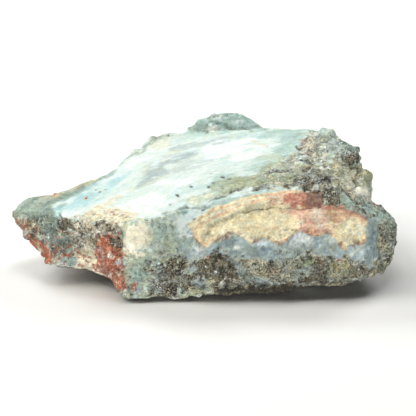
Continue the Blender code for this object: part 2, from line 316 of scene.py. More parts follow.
MINERALS = {
    # larimar
    "larimar white": mineral(0.7, (216, 229, 221), (198, 213, 200), 0.15, **SOFT, fibre=0.7, grain=0.14,
                             rough=0.06, gloss=0.8),
    "milk": mineral(0.8, (238, 245, 240), share=0.0),
    "snow and highlight": mineral(0.8, (238, 255, 250), share=0.0, grain=0.1, flecks=0.0, specks=0.0, veins=0.0),
    "ice blue": mineral(0.9, (184, 214, 210)),
    "turquoise": mineral(0.8, (164, 206, 208)),
    "trough blue": mineral(0.8, (150, 192, 192), share=0.1),
    "pale teal": mineral(0.8, (172, 200, 190), (200, 214, 200), 0.2, grain=0.22),
    "lilac grey": mineral(0.6, (168, 184, 181), (206, 214, 206), 0.3, grain=0.25),
    "straw": mineral(0.9, (220, 212, 176), share=0.0),
    "sage": mineral(0.9, (188, 200, 176), (166, 180, 156), 0.3, grain=0.3),
    "sea grey": mineral(0.6, (136, 154, 138), (162, 172, 148), 0.3, grain=0.5, rough=0.25, gloss=0.5,
                        fibre=0.5),
    "bone": mineral(0.8, (226, 216, 184), (202, 188, 158), 0.3, specks=0.08, grain=0.4, rust=0.15, rough=0.4,
                    gloss=0.3, fibre=0.2, veins=0.0),
    # rock
    "host rock": mineral(1.0, (198, 210, 192), (216, 218, 194), 0.3, **ROCK, specks=0.16, flecks=0.35,
                         veins=0.08),
    "speckled rock": mineral(1.5, (182, 186, 170), (74, 68, 57), 0.48, **ROCK, specks=0.55, flecks=0.55,
                             veins=0.55),
    "dark rock": mineral(1.5, (148, 141, 120), (52, 47, 38), 0.62, **ROCK, specks=0.55, flecks=0.45,
                         veins=0.75),
    "dirty rock and shade": mineral(0.9, (84, 81, 69), (36, 34, 28), 0.5, **ROCK, specks=0.5, flecks=0.3, veins=0.6),
    "olive rock": mineral(1.0, (184, 182, 152), (120, 114, 86), 0.35, **ROCK, specks=0.25, flecks=0.45,
                          veins=0.25),
    "moss": mineral(0.9, (166, 176, 144), (190, 190, 146), 0.35, specks=0.22, flecks=0.3, grain=0.5,
                    rough=0.5),
    "taupe rock": mineral(1.0, (214, 206, 186), (174, 160, 142), 0.35, **ROCK, specks=0.2, flecks=0.5,
                          veins=0.22),
    "grey green": mineral(0.9, (194, 204, 187), (156, 166, 148), 0.3, **ROCK, specks=0.18, flecks=0.4,
                          veins=0.16),
    "teal rock": mineral(0.9, (172, 194, 182), (196, 208, 194), 0.3, rust=0.0, lift=0.0, specks=0.1,
                         flecks=0.25, fibre=0.2, grain=0.5, rough=0.5, gloss=0.25, veins=0.08),
    # painted shade: the teal rock as it looks in shade, on the nose's crest, the rim, hollows and the knob's
    # sides
    "teal in shade": mineral(0.8, (132, 150, 138), (156, 168, 152), 0.3, specks=0.1, grain=0.5, rough=0.5,
                          gloss=0.2),
    "slate": mineral(0.8, (172, 189, 187), (204, 215, 213), 0.25, specks=0.03, rust=0.0, flecks=0.3,
                     fibre=0.6, grain=0.4, rough=0.5, gloss=0.25, veins=0.04, lift=0.0),
    "dark slate and shade": mineral(0.9, (134, 152, 151), (162, 178, 176), 0.3, specks=0.1),
    "pale slate and highlight": mineral(0.9, (236, 243, 240), (200, 214, 212), 0.15, specks=0.0, veins=0.0),
    "lichen cream": mineral(0.9, (236, 232, 206), (204, 200, 172), 0.25, grain=0.5, rough=0.5, specks=0.1),
    # crust
    "tan crust": mineral(0.7, (230, 217, 177), (242, 236, 206), 0.45, **CRUMBLY, flecks=0.2, grain=0.42,
                         rough=0.5),
    "straw crust": mineral(0.8, (224, 212, 170), (208, 192, 146), 0.3),
    "khaki": mineral(0.9, (194, 188, 152), (168, 160, 128), 0.3),
    "ochre": mineral(0.9, (226, 186, 144), (240, 222, 190), 0.4),
    "cream crust": mineral(0.9, (240, 236, 206), (224, 210, 172), 0.25),
    "brick": mineral(0.9, (194, 126, 104), (222, 176, 152), 0.35, **CRUMBLY, flecks=0.3, grain=0.5,
                     rough=0.7),
    "rose": mineral(1.0, (236, 190, 162), (244, 216, 188), 0.4),
    "maroon": mineral(0.9, (134, 92, 80), (96, 64, 56), 0.4, specks=0.15, grain=0.6),
    "brown tan": mineral(0.9, (206, 174, 142), (222, 198, 164), 0.35, grain=0.5),
    "rust": mineral(1.1, (202, 142, 114), (226, 194, 168), 0.3, specks=0.25, rust=0.85, flecks=0.4, fibre=0.0,
                    grain=0.9, rough=1.0, gloss=0.0, lift=0.15, veins=0.25),
    "rust stain": mineral(0.9, rust=0.45),
    "cream boss": mineral(0.8, (250, 244, 216), (224, 222, 200), 0.25, **SOFT, fibre=0.0, grain=0.25,
                          rough=0.2, gloss=0.4),
    "bleached": mineral(0.7, (251, 248, 228), share=0.0),
    "black": mineral(0.3, (34, 31, 26), share=0.0, specks=0.3, lift=-0.4),
    "crack and shade line": mineral(0.3, (112, 104, 84), share=0.0, lift=-0.15),
    # painted shade: the darkness of a crease, laid as colour over a real sink
    "groove shade": mineral(0.6, (122, 132, 120), (70, 68, 58), 0.3, specks=0.35, lift=-0.35),
}
print(len(MINERALS), "minerals")

# %% [markdown]
# ## What the hidden sides are made of
#
# The photograph shows the front and the top. Behind and below, the stone is the same: a layer of
# larimar a few millimetres thick under the plate, with grey-green lava beneath it that holds dark
# pockets and rust. Noise in the stone's own millimetres lays it out, so it has no seam. The underside
# is painted darker as shade, at the front most of all.

# %% The stone before its patches
PLATE_HEIGHT = 27.0  # of the plate's top over the stone's middle, in millimetres
PLATE_RISE = 0.11  # the plate rises to the right
paint = np.zeros((count, len(FIELDS)))


def lay(name, share):
    """Covers the points with a mineral, by a share from 0 to 1 for each."""
    for field, value in MINERALS[name][1].items():
        paint[:, field] += share * (value - paint[:, field])


depth = PLATE_HEIGHT + PLATE_RISE * mm[:, 0] - mm[:, 2]
lay("host rock", np.ones(count))
for name, size, shift, start, end, cover in (
        ("olive rock", 13.0, 23.0, 0.02, 0.16, 0.9), ("slate", 15.0, 40.0, 0.08, 0.2, 0.9),
        ("speckled rock", 9.0, 11.0, 0.0, 0.2, 1.0), ("dark rock", 8.0, 57.0, 0.2, 0.34, 0.9),
        ("taupe rock", 10.0, 91.0, 0.16, 0.3, 0.9), ("rust stain", 10.0, 71.0, 0.16, 0.4, 1.0),
        ("rust", 11.0, 131.0, 0.3, 0.42, 0.9)):
    lay(name, cover * ease(cloud(size, 4, shift), start, end))
seam = depth + 3.0 * cloud(9.0, 4, 5.0) + 0.8 * cloud(1.8, 3, 29.0)
lay("teal rock", ease(seam, 9.0, 7.0) * 0.85)
lay("sage", ease(seam, 7.0, 5.0) * ease(cloud(6.0, 3, 13.0), 0.0, 0.3) * 0.7)
lay("pale teal", ease(seam, 5.5, 3.5) * 0.7)
is_plate = ease(facing[:, 2], 0.6, 0.85) * ease(depth, 6.0, 4.0)
lay("larimar white", is_plate)
for name, width, length, shift, end, cover in (
        ("ice blue", 5.0, 30.0, 2.0, 0.5, 0.5), ("pale teal", 3.0, 20.0, 15.0, 0.5, 0.35),
        ("straw", 2.4, 22.0, 33.0, 0.6, 0.25), ("milk", 4.0, 26.0, 9.0, 0.4, 0.6),
        ("lilac grey", 3.0, 16.0, 51.0, 0.6, 0.35)):
    lay(name, is_plate * cover * ease(streaks(width, length, 3, shift), 0.0, end))
front_reach = 16.0 * cloud(17.0, 4, 37.0) + 6.0 * cloud(5.0, 3, 47.0) - mm[:, 1]
# painted shade: faces that turn down are darkened, most of all near the front
underside_shade = ease(-facing[:, 2], 0.1, 0.5) * ease(front_reach, 14.0, 30.0)
lay("dirty rock and shade", 0.85 * underside_shade)
print("plate covers", round(100 * float((is_plate > 0.5).mean())), "% of the points")

# %% [markdown]
# ## The patches that the photograph shows
#
# A painter works from large to small: first the rock, then the crust over it, then stains, veins and
# pits. Each patch has a mineral, a shape, how far its edge spreads in pixels, and how fully it
# covers. A ragged edge is broken up by noise, so two minerals reach into each other as they do in
# rock. On the plate that noise is drawn out along the fibres.

# %% Laying a patch
SHAKE = 1.4  # how far an outline wanders, in pixels
across_shaken = across + SHAKE * (cloud(5.0, 2, 3.0) + 0.8 * cloud(1.7, 2, 31.0))
down_shaken = down + SHAKE * (cloud(5.0, 2, 17.0) + 0.8 * cloud(1.7, 2, 47.0))
crumble = 1.5 * cloud(2.6, 4, 63.0) + 0.9 * cloud(0.9, 2, 97.0)
fibrous = 1.5 * streaks(4.0, 10.0, 3, 63.0) + 0.3 * streaks(1.4, 6.0, 2, 97.0)
edge_noise = crumble + is_plate * (fibrous - crumble)
visible = ease(shown, 0.0, 0.15)
seeds = iter(range(100, 1000, 7))


def lay_patches(patches):
    """Lays patches on the side that shows, in their order: mineral, shape, spread and cover."""
    for name, shape, spread, cover in patches:
        ragged = MINERALS[name][0]
        inside = shape(across_shaken, down_shaken) / spread + ragged * edge_noise
        firm = 1.0 - 0.65 * min(1.0, ragged)
        lay(name, cover * visible * ease(inside, -firm, firm))
    print(len(patches), "patches laid")


def scatter(name, shape, size, share, cover=0.8):
    """Lays a mineral in pieces of about size millimetres over a share of an area."""
    inside = ease(shape(across_shaken, down_shaken) + 2.0 * crumble, -1.5, 1.5) * visible
    heights = cloud(size, 4, float(next(seeds))) + 0.12 * crumble
    start = np.quantile(heights, 1.0 - share)
    lay(name, inside * cover * ease(heights, start - 0.05, start + 0.1))


# %% [markdown]
# ### The plate
#
# The plate is white and pale blue larimar. Bands of lilac grey and cream cross it, following the
# fibres, and in the trough at its left end it is bluest.

# %% The plate's patches
PLATE = outline((22, 207), (35, 212), (50, 212), (62, 217), (80, 221), (95, 222), (110, 226), (122, 231),
                (132, 222), (150, 220), (160, 218), (170, 214), (184, 206), (200, 203), (212, 198),
                (230, 192), (246, 184), (262, 174), (280, 165), (292, 150), (306, 142), (314, 122),
                (264, 118), (185, 122), (150, 128), (135, 140), (112, 152), (92, 170), (62, 182), (28, 190),
                (10, 205))
lay_patches((("larimar white", PLATE, 2.0, 1.0),))
top_visible = visible * ease(facing[:, 2], 0.5, 0.8)
for name, width, length, shift, cover in (("ice blue", 7.0, 14.0, 2.0, 0.4), ("milk", 6.0, 12.0, 9.0, 0.6),
                                          ("sage", 5.0, 10.0, 27.0, 0.2),
                                          ("lilac grey", 4.0, 8.0, 45.0, 0.2)):
    lay(name, top_visible * cover * is_plate * ease(streaks(width, length, 2, shift), -0.1, 0.9))
lay_patches((
    ("sage", line(8, (114, 166), (132, 153), (146, 145), (160, 137), (182, 134), (250, 131)), 7.0, 0.45),
    ("milk", line(7, (128, 166), (142, 156), (158, 148), (184, 141), (214, 137)), 7.0, 0.35),
    ("ice blue", line(8, (182, 140), (226, 132), (262, 133)), 6.0, 0.5),
    ("pale teal", line(4, (100, 178), (112, 168), (120, 158), (132, 151), (146, 143)), 3.0, 0.7),
    ("pale teal", line(5, (182, 132), (214, 131), (250, 129), (268, 130)), 3.0, 0.7),
    ("ice blue", outline((46, 211), (50, 200), (64, 190), (84, 184), (98, 178), (116, 172), (130, 176),
                         (120, 192), (96, 204), (80, 212), (62, 214)), 12.0, 0.9),
    ("trough blue", line(10, (56, 204), (68, 196), (82, 189), (92, 183)), 9.0, 0.8),
    ("teal in shade", line(5, (56, 200), (68, 193), (86, 184)), 6.0, 0.6),
    ("turquoise", oval(84, 200, 22, 6, 22), 6.0, 0.75),
    ("turquoise", oval(113, 183, 10, 7, 35), 6.0, 0.75),
    ("milk", line(6, (64, 215), (84, 211), (102, 204), (122, 192)), 8.0, 0.7),
    ("milk", line(5, (94, 190), (102, 184), (112, 175)), 6.0, 0.7),
    ("teal in shade", line(3, (96, 180.5), (110, 173.5), (118, 165), (130, 156.5), (142, 152), (148, 145),
                        (157, 138), (170, 136)), 2.0, 0.6),
    ("straw", line(3.5, (70, 217), (88, 212), (106, 205), (120, 197)), 3.0, 0.55),
    ("sea grey", outline((12, 214), (16, 203), (30, 195), (50, 192), (62, 190), (76, 191), (66, 199),
                         (54, 207), (58, 216), (46, 216), (34, 212)), 5.0, 1.0),
    # painted shade down the crest of the nose
    ("teal in shade", line(9, (26, 209), (40, 205), (50, 212), (55, 222)), 6.0, 0.75),
    ("pale teal", line(2, (17, 204), (26, 199), (38, 197)), 3.0, 0.3),
    ("sage", line(5, (30, 204), (44, 200), (56, 196), (70, 190)), 3.0, 0.35),
    ("khaki", line(5, (50, 196), (62, 193), (74, 188), (84, 184), (94, 180)), 3.0, 0.7),
    ("ice blue", oval(57, 209, 5, 3, 20), 4.0, 0.5),
    ("straw", line(1.6, (48, 194), (64, 191), (74, 186.5), (86, 182)), 1.2, 0.7),
    ("brown tan", line(1.6, (40, 198), (58, 194), (72, 188), (82, 184)), 1.2, 0.7),
    ("straw", line(2.5, (94, 180), (108, 172), (116, 163)), 2.0, 0.6),
    ("lilac grey", outline((138, 186), (142, 174), (150, 166), (164, 162), (168, 170), (158, 178),
                           (148, 184)), 6.0, 0.9),
    ("lilac grey", outline((158, 164), (162, 157), (176, 152), (190, 150), (196, 154), (190, 160),
                           (172, 164)), 5.0, 0.9),
    ("lilac grey", line(6, (172, 149), (190, 145), (206, 143), (226, 139)), 5.0, 0.6),
    ("lilac grey", line(5, (176, 171), (196, 166), (212, 161)), 5.0, 0.4),
    ("milk", line(1.4, (156, 163), (166, 159), (180, 157)), 2.0, 0.4),
    ("straw", line(1.6, (165, 156), (173, 152.5), (183, 151)), 1.6, 0.7),
    ("straw", line(2.2, (180, 143), (196, 139), (214, 136), (234, 134.5)), 2.4, 0.35),
    ("straw", line(2.4, (130, 190), (138, 178), (147, 168)), 4.0, 0.35),
    ("straw", line(1.4, (142, 185), (154, 181), (170, 174)), 1.6, 0.35),
    ("straw", line(3, (246, 140), (256, 143), (268, 147)), 2.0, 0.8),
    ("sage", line(4, (240, 148), (262, 152), (280, 160)), 3.0, 0.5),
    # painted highlight: the broad bright sheen of the window on the plate
    ("milk", oval(238, 152, 24, 9, 6), 8.0, 1.0),
    ("milk", outline((104, 214), (124, 200), (150, 194), (178, 192), (174, 202), (156, 211), (134, 217),
                     (116, 219)), 6.0, 0.85),
    ("milk", line(6, (160, 184), (190, 178), (222, 168)), 6.0, 0.8),
    ("milk", line(5, (120, 172), (136, 160), (152, 152)), 4.0, 0.6),
    ("milk", line(3, (152, 166), (166, 158), (176, 156)), 3.0, 0.5),
    ("pale teal", outline((262, 135), (276, 129), (304, 125), (308, 140), (300, 150), (288, 158), (276, 158),
                          (272, 148), (280, 142)), 7.0, 0.9),
    ("sea grey", line(4, (280, 150), (290, 144), (300, 134)), 3.0, 0.4),
    ("pale teal", oval(262, 166, 18, 6, 10), 5.0, 0.7),
    ("pale teal", oval(222, 177, 16, 4, 8), 4.0, 0.7),
    ("ice blue", line(5, (164, 200), (180, 193), (200, 188), (214, 184)), 4.0, 0.5),
    ("moss", outline((206, 196), (216, 184), (228, 178), (244, 176), (240, 186), (226, 193)), 4.0, 0.75),
    ("sage", outline((186, 202), (192, 195), (206, 192), (216, 195), (210, 200), (198, 204)), 2.0, 0.9),
    ("lichen cream", line(4, (192, 200), (202, 196.5), (212, 196)), 2.0, 0.6),
    ("taupe rock", line(6, (66, 219), (84, 216.5), (98, 218)), 4.0, 0.7),
    ("bone", outline((86, 218), (98, 209), (122, 209), (134, 216), (129, 226), (112, 227), (98, 222)),
     9.0, 0.9),
    ("lichen cream", oval(112, 217, 18, 7), 5.0, 0.6),
    ("sage", oval(104, 218, 12, 4), 4.0, 0.3),
))
scatter("straw crust", oval(110, 217, 24, 9), 1.8, 0.35, 0.7)
scatter("brown tan", oval(112, 218, 20, 8), 0.9, 0.25, 0.8)
scatter("crack and shade line", oval(112, 219, 20, 8), 0.6, 0.1, 0.7)

# %% [markdown]
# ### The rough corner
#
# At the back right the plate gives over to the host rock: grey lumps, hollows painted dark as shade,
# and a sandy chunk.

# %% The corner's patches
CORNER = outline((286, 158), (296, 150), (304, 140), (312, 128), (322, 118), (342, 120), (354, 134),
                 (374, 150), (374, 200), (352, 206), (322, 194), (300, 188), (262, 188), (240, 190),
                 (256, 176))
lay_patches((
    ("moss", outline((218, 195), (228, 184), (246, 174), (268, 164), (296, 156), (333, 160), (340, 190),
                     (322, 192), (300, 188), (272, 189), (250, 190), (232, 194)), 4.0, 1.0),
    ("grey green", outline((286, 158), (296, 150), (306, 140), (314, 128), (322, 120), (340, 122), (352, 134),
                           (372, 150), (366, 166), (340, 170), (312, 168), (290, 168), (268, 172)), 6.0, 1.0),
    ("olive rock", outline((256, 188), (266, 178), (282, 170), (298, 164), (326, 164), (340, 190), (322, 192),
                           (300, 188), (276, 189)), 4.0, 0.6),
    ("taupe rock", outline((300, 138), (312, 135), (320, 144), (316, 158), (304, 158), (298, 148)), 3.0, 0.9),
))
scatter("pale slate and highlight", CORNER, 2.0, 0.16, 0.5)
scatter("dark rock", CORNER, 2.4, 0.07, 0.7)
scatter("taupe rock", CORNER, 3.0, 0.15, 0.7)
scatter("teal rock", CORNER, 4.0, 0.15, 0.6)
scatter("straw", CORNER, 1.5, 0.08, 0.6)
lay_patches((
    ("host rock", outline((316, 128), (330, 124), (342, 132), (350, 142), (338, 146), (322, 142)), 4.0, 0.5),
    ("bone", oval(310, 143, 6, 5), 3.0, 0.3),
    ("dark rock", line(3, (297, 147), (302, 149), (305, 143)), 1.5, 0.7),
    ("teal rock", oval(326, 134, 9, 6), 3.0, 0.5),
    ("grey green", oval(338, 146, 7, 8), 3.0, 0.6),
    ("speckled rock", line(5, (266, 176), (280, 169), (296, 165), (318, 163), (330, 166)), 3.0, 0.9),
    ("dark rock", line(3, (278, 170), (290, 166), (304, 164)), 2.5, 0.35),
    ("moss", line(5, (246, 187), (262, 182), (282, 178), (298, 177)), 2.0, 0.9),
    ("speckled rock", line(2.6, (238, 191), (256, 187), (276, 185), (298, 185)), 2.0, 0.8),
    ("speckled rock", outline((298, 174), (306, 169), (318, 170), (328, 169), (334, 176), (336, 192),
                              (322, 190), (300, 188), (286, 188), (294, 182)), 1.5, 1.0),
    ("dark rock", oval(322, 179, 7, 5, -20), 3.0, 0.7),
    ("maroon", oval(303, 179, 4, 3), 2.0, 0.4),
    ("pale slate and highlight", line(1.5, (316, 168.5), (328, 167.5), (333, 173), (334, 180)), 1.0, 0.75),
    ("olive rock", outline((331, 172), (333, 160), (344, 160), (358, 165), (366, 166), (370, 176), (370, 200),
                           (358, 204), (342, 196), (334, 186)), 2.0, 1.0),
    ("lichen cream", outline((336, 166), (350, 168), (354, 180), (348, 190), (338, 184)), 5.0, 0.6),
    ("sage", outline((340, 168), (352, 172), (352, 190), (344, 190), (338, 180)), 5.0, 0.5),
    ("lichen cream", line(5, (342, 186), (350, 190), (358, 196)), 3.0, 0.5),
    ("speckled rock", outline((330, 141), (340, 140), (352, 146), (362, 152), (358, 166), (344, 168),
                              (334, 160), (336, 150)), 3.0, 0.8),
    ("teal in shade", outline((332, 141), (344, 139), (356, 148), (361, 153), (352, 156), (342, 152)), 3.0, 0.8),
    # painted shade under the overhanging lump
    ("dark rock", outline((341, 156), (350, 155), (360, 155), (358, 160), (352, 166), (345, 166), (341, 161)),
     3.0, 0.85),
    ("dark rock", line(2, (355, 149), (360, 154), (357, 160)), 1.4, 0.9),
    ("dark rock", line(1.8, (318, 136), (326, 142), (338, 144)), 1.5, 0.4),
    ("crack and shade line", line(1.6, (334, 160), (344, 167), (356, 168)), 1.2, 0.8),
    ("moss", outline((355, 170), (364, 166), (371, 174), (370, 187), (358, 187)), 2.0, 0.95),
    ("khaki", oval(364, 177, 5, 7, 20), 3.0, 0.8),
    ("lichen cream", oval(361, 180, 3, 5), 2.0, 0.6),
    ("lichen cream", line(1.4, (354, 172), (353, 180), (356, 187), (364, 188)), 1.2, 0.8),
    ("bleached", outline((350, 189), (356, 186), (366, 187), (371, 190), (371, 202), (364, 202),
                         (354, 196)), 2.5, 0.95),
    ("snow and highlight", oval(362, 192, 8, 5), 3.0, 0.9),
    ("crack and shade line", line(1.4, (352, 192), (355, 184), (357, 176), (358, 168)), 1.0, 0.85),
    ("crack and shade line", line(1.2, (366, 186), (369, 192), (369, 200)), 1.0, 0.7),
))

# %% [markdown]
# ### The shelf
#
# Between the corner and the crust lies a dark speckled chunk. From there the teal rock falls away
# to the right end as a narrow shelf. Its ridges are speckled and dark, and the end is olive.

# %% The shelf's patches
SHELF = outline((337, 190), (352, 196), (370, 203), (386, 209), (402, 220), (402, 268), (378, 272),
                (374, 222), (366, 219), (354, 211), (342, 207))
lay_patches((
    ("speckled rock", outline((311, 191), (330, 188), (340, 190), (346, 200), (342, 208), (328, 207),
                              (324, 206), (323, 192)), 1.5, 1.0),
    ("dark rock", outline((318, 192), (330, 189), (340, 192), (344, 202), (334, 207), (324, 203)), 3.0, 0.6),
    ("ice blue", oval(324, 204, 3, 3), 1.5, 0.7),
    ("teal rock", outline((337, 190), (352, 196), (370, 203), (386, 209), (399, 220), (394, 226), (376, 222),
                          (366, 219), (354, 211), (342, 207)), 2.0, 1.0),
    ("sage", line(4, (360, 208), (374, 212), (388, 217)), 3.0, 0.5),
    ("pale teal", oval(388, 215, 8, 4, -20), 4.0, 0.5),
    ("speckled rock", line(3.0, (336, 188), (350, 197), (364, 204), (374, 207)), 1.6, 1.0),
    ("speckled rock", line(2.4, (372, 206), (384, 210), (394, 217)), 1.2, 0.8),
    ("dark rock", line(1.4, (345, 195), (352, 199), (360, 203)), 1.0, 0.8),
    ("speckled rock", line(2.2, (346, 205), (358, 210), (370, 215), (384, 220)), 1.4, 0.85),
    ("dark rock", line(1.2, (356, 206), (366, 212), (374, 215)), 1.0, 0.7),
    ("pale teal", outline((369, 217), (378, 217), (385, 221), (382, 226), (372, 225)), 1.5, 0.95),
    ("olive rock", outline((374, 226), (400, 214), (404, 270), (374, 280), (373, 250)), 1.5, 1.0),
    ("speckled rock", outline((376, 226), (399, 220), (396, 250), (388, 264), (378, 266), (376, 246)),
     3.0, 0.9),
    ("khaki", oval(380, 243, 4.5, 9), 3.0, 0.75),
    ("dark rock", line(3, (398, 226), (395, 244), (388, 260)), 2.0, 0.8),
))
scatter("dark rock", SHELF, 2.0, 0.15, 0.6)
scatter("moss", SHELF, 2.0, 0.2, 0.6)

# %% [markdown]
# ### The front face
#
# Below the plate's edge the grey-green rock is bare. A cream boss stands at its left, dark specks
# gather low down, and a band of slate-blue larimar runs under the crust to the right end.

# %% The front's patches
FACE = outline((120, 222), (132, 221), (150, 219), (170, 214), (186, 206), (196, 222), (200, 245), (197, 262),
               (186, 304), (120, 304), (116, 250))
LOW_ROCK = outline((196, 262), (212, 254), (232, 257), (262, 262), (290, 256), (326, 254), (350, 262),
                   (372, 268), (378, 284), (330, 290), (280, 294), (200, 300), (188, 294))
SLATE_BAND = outline((178, 226), (190, 222), (205, 246), (222, 240), (240, 236), (268, 236), (300, 226),
                     (330, 229), (352, 240), (366, 220), (377, 218), (377, 268), (366, 272), (350, 262),
                     (326, 256), (290, 258), (262, 262), (232, 258), (212, 255), (196, 262), (182, 254))
lay_patches((("host rock", FACE, 1.5, 1.0), ("slate", SLATE_BAND, 1.5, 1.0),
             ("olive rock", LOW_ROCK, 2.0, 1.0)))
scatter("teal rock", FACE, 5.0, 0.35, 0.7)
scatter("sage", FACE, 3.0, 0.3, 0.6)
scatter("olive rock", FACE, 3.0, 0.15, 0.5)
scatter("pale slate and highlight", SLATE_BAND, 2.2, 0.14, 0.5)
scatter("dark slate and shade", SLATE_BAND, 3.2, 0.3, 0.8)
scatter("pale slate and highlight", LOW_ROCK, 1.8, 0.14, 0.5)
scatter("dark rock", LOW_ROCK, 2.4, 0.25, 0.8)
scatter("straw", LOW_ROCK, 1.6, 0.15, 0.6)
lay_patches((
    ("teal rock", outline((150, 226), (166, 218), (180, 214), (190, 228), (192, 244), (180, 250), (166, 240),
                          (154, 238)), 4.0, 0.6),
    ("pale teal", oval(178, 227, 9, 10), 6.0, 0.5),
    ("pale slate and highlight", outline((172, 220), (180, 213), (188, 214), (192, 226), (187, 236), (180, 232)),
     6.0, 0.25),
    ("sage", outline((152, 242), (162, 238), (176, 243), (174, 254), (160, 256), (150, 250)), 6.0, 0.6),
    ("pale slate and highlight", outline((190, 248), (198, 244), (208, 250), (204, 256), (194, 256)), 4.0, 0.6),
    ("dark slate and shade", outline((240, 248), (250, 246), (264, 248), (270, 254), (258, 258), (246, 256)), 3.0, 0.8),
    ("dark slate and shade", line(4, (262, 251), (286, 249), (306, 248)), 3.0, 0.5),
    ("dark slate and shade", line(4, (214, 244), (226, 240), (240, 240)), 3.0, 0.5),
    ("pale slate and highlight", outline((289, 242), (297, 234), (305, 234), (315, 240), (314, 245), (302, 246),
                           (292, 246)), 4.0, 0.75),
    ("pale slate and highlight", outline((346, 248), (352, 244), (362, 244), (366, 252), (356, 257), (346, 255)),
     4.0, 0.25),
    ("pale slate and highlight", oval(236, 248, 3, 2.4), 1.0, 0.8),
    ("pale slate and highlight", oval(243, 252.5, 3, 1.8), 1.0, 0.8),
    ("pale slate and highlight", oval(235, 256, 3, 2), 1.0, 0.7),
    ("pale slate and highlight", line(2.5, (330, 250), (346, 262), (362, 266)), 2.0, 0.6),
    ("dark slate and shade", line(8, (371, 226), (372, 244), (370, 262)), 3.0, 0.9),
    ("dark slate and shade", oval(330, 247, 9, 6), 5.0, 0.6),
    ("dark slate and shade", oval(190, 238, 6, 6), 5.0, 0.4),
))

# %% [markdown]
# ### The low rock
#
# Under the slate band the lava comes out again. It broke into pockets of dark crystals, and thin
# tongues of slate and moss green run down between them.

# %% The low rock's patches
lay_patches((
    ("speckled rock", outline((240, 262), (262, 260), (290, 256), (326, 254), (350, 262), (372, 270),
                              (376, 282), (330, 288), (280, 292), (232, 290)), 6.0, 0.5),
    ("slate", line(10, (187, 250), (192, 268), (200, 284), (208, 288)), 5.0, 0.9),
    ("dark rock", outline((198, 264), (203, 258), (212, 253), (224, 254), (233, 259), (241, 268), (237, 277),
                          (228, 282), (214, 281), (204, 277)), 3.0, 1.0),
    ("dark rock", oval(217, 268, 16, 9), 5.0, 0.8),
    ("dirty rock and shade", oval(216, 267, 13, 8), 6.0, 0.35),
    ("khaki", line(2, (206, 264), (216, 260), (226, 266), (232, 274)), 1.5, 0.6),
    ("khaki", line(1.6, (204, 272), (212, 278), (222, 278)), 1.2, 0.6),
    ("pale slate and highlight", oval(216, 271.5, 2.8, 2.4), 1.2, 0.6),
    ("slate", line(7, (234, 259), (242, 268), (250, 277), (262, 283)), 4.0, 0.75),
    ("dark slate and shade", line(6, (236, 264), (246, 274), (256, 282)), 3.0, 0.9),
    ("olive rock", line(2, (240, 268), (250, 278)), 1.6, 0.6),
    ("lichen cream", outline((242, 262), (256, 258), (264, 262), (260, 270), (248, 270)), 3.0, 0.5),
    ("khaki", line(3, (250, 266), (262, 270), (272, 278)), 2.0, 0.5),
    ("dark rock", oval(277, 268, 10, 7, 15), 5.0, 0.55),
    ("brown tan", oval(276, 271, 7, 4, 10), 4.0, 0.3),
    ("khaki", oval(278, 264, 4, 2.5), 1.5, 0.7),
    ("slate", line(5, (292, 258), (290, 268), (286, 278)), 4.0, 0.6),
    ("speckled rock", oval(312, 266, 20, 12, -5), 8.0, 0.5),
    ("dark rock", outline((300, 262), (304, 255), (312, 254), (324, 259), (330, 266), (326, 274), (312, 278),
                          (303, 274)), 6.0, 0.2),
    ("slate", oval(307, 269, 7, 5), 4.0, 0.6),
    ("moss", outline((296, 262), (306, 259), (315, 258), (314, 263), (302, 268)), 1.5, 0.95),
    ("maroon", oval(322, 267, 7, 7), 4.0, 0.4),
    ("lichen cream", line(2, (327, 262), (330, 268)), 1.2, 0.8),
    ("khaki", oval(341, 267, 11, 7, -10), 4.0, 0.9),
    ("dark rock", line(4, (344, 279), (358, 275), (372, 270)), 2.0, 0.8),
    ("slate", outline((191, 284), (197, 275), (209, 277), (207, 285), (198, 287)), 2.5, 0.9),
    ("pale slate and highlight", line(1.6, (197, 279), (203, 277.5), (207, 279)), 1.4, 0.6),
    ("black", line(1.8, (190, 286), (196, 284.5), (202, 287)), 1.2, 0.7),
    ("moss", outline((186, 297), (191, 289), (204, 287), (213, 290), (198, 297)), 1.5, 0.95),
    ("straw", line(2.4, (192, 293), (204, 290)), 1.6, 0.6),
))

# %% [markdown]
# ### The left of the front
#
# One more dark pocket lies low at the left, and beside it the rock is pale teal down to the foot.

# %% The left front's patches
lay_patches((
    ("speckled rock", outline((151, 270), (158, 264), (168, 260), (178, 259), (186, 265), (190, 276),
                              (188, 291), (176, 299), (154, 299), (147, 284)), 4.0, 1.0),
    ("dark rock", outline((154, 271), (164, 263), (176, 261), (183, 268), (186, 277), (182, 292), (156, 294)),
     5.0, 0.9),
    ("dark rock", oval(166, 291, 14, 5), 3.0, 0.45),
    ("moss", oval(160, 261, 4, 2), 1.5, 0.8),
    ("slate", line(5, (160, 276), (172, 274), (182, 280)), 4.0, 0.35),
    ("pale slate and highlight", line(2, (156, 286), (170, 280), (182, 284)), 2.0, 0.5),
    ("grey green", outline((124, 266), (138, 260), (148, 268), (148, 284), (146, 298), (124, 300),
                           (122, 280)), 3.0, 0.8),
    ("pale teal", outline((126, 270), (136, 262), (146, 270), (144, 286), (130, 290)), 4.0, 0.7),
    ("sage", outline((132, 254), (146, 256), (148, 268), (136, 270), (128, 262)), 4.0, 0.7),
    ("rust", oval(133, 286, 3.5, 4.0), 2.0, 0.8),
))
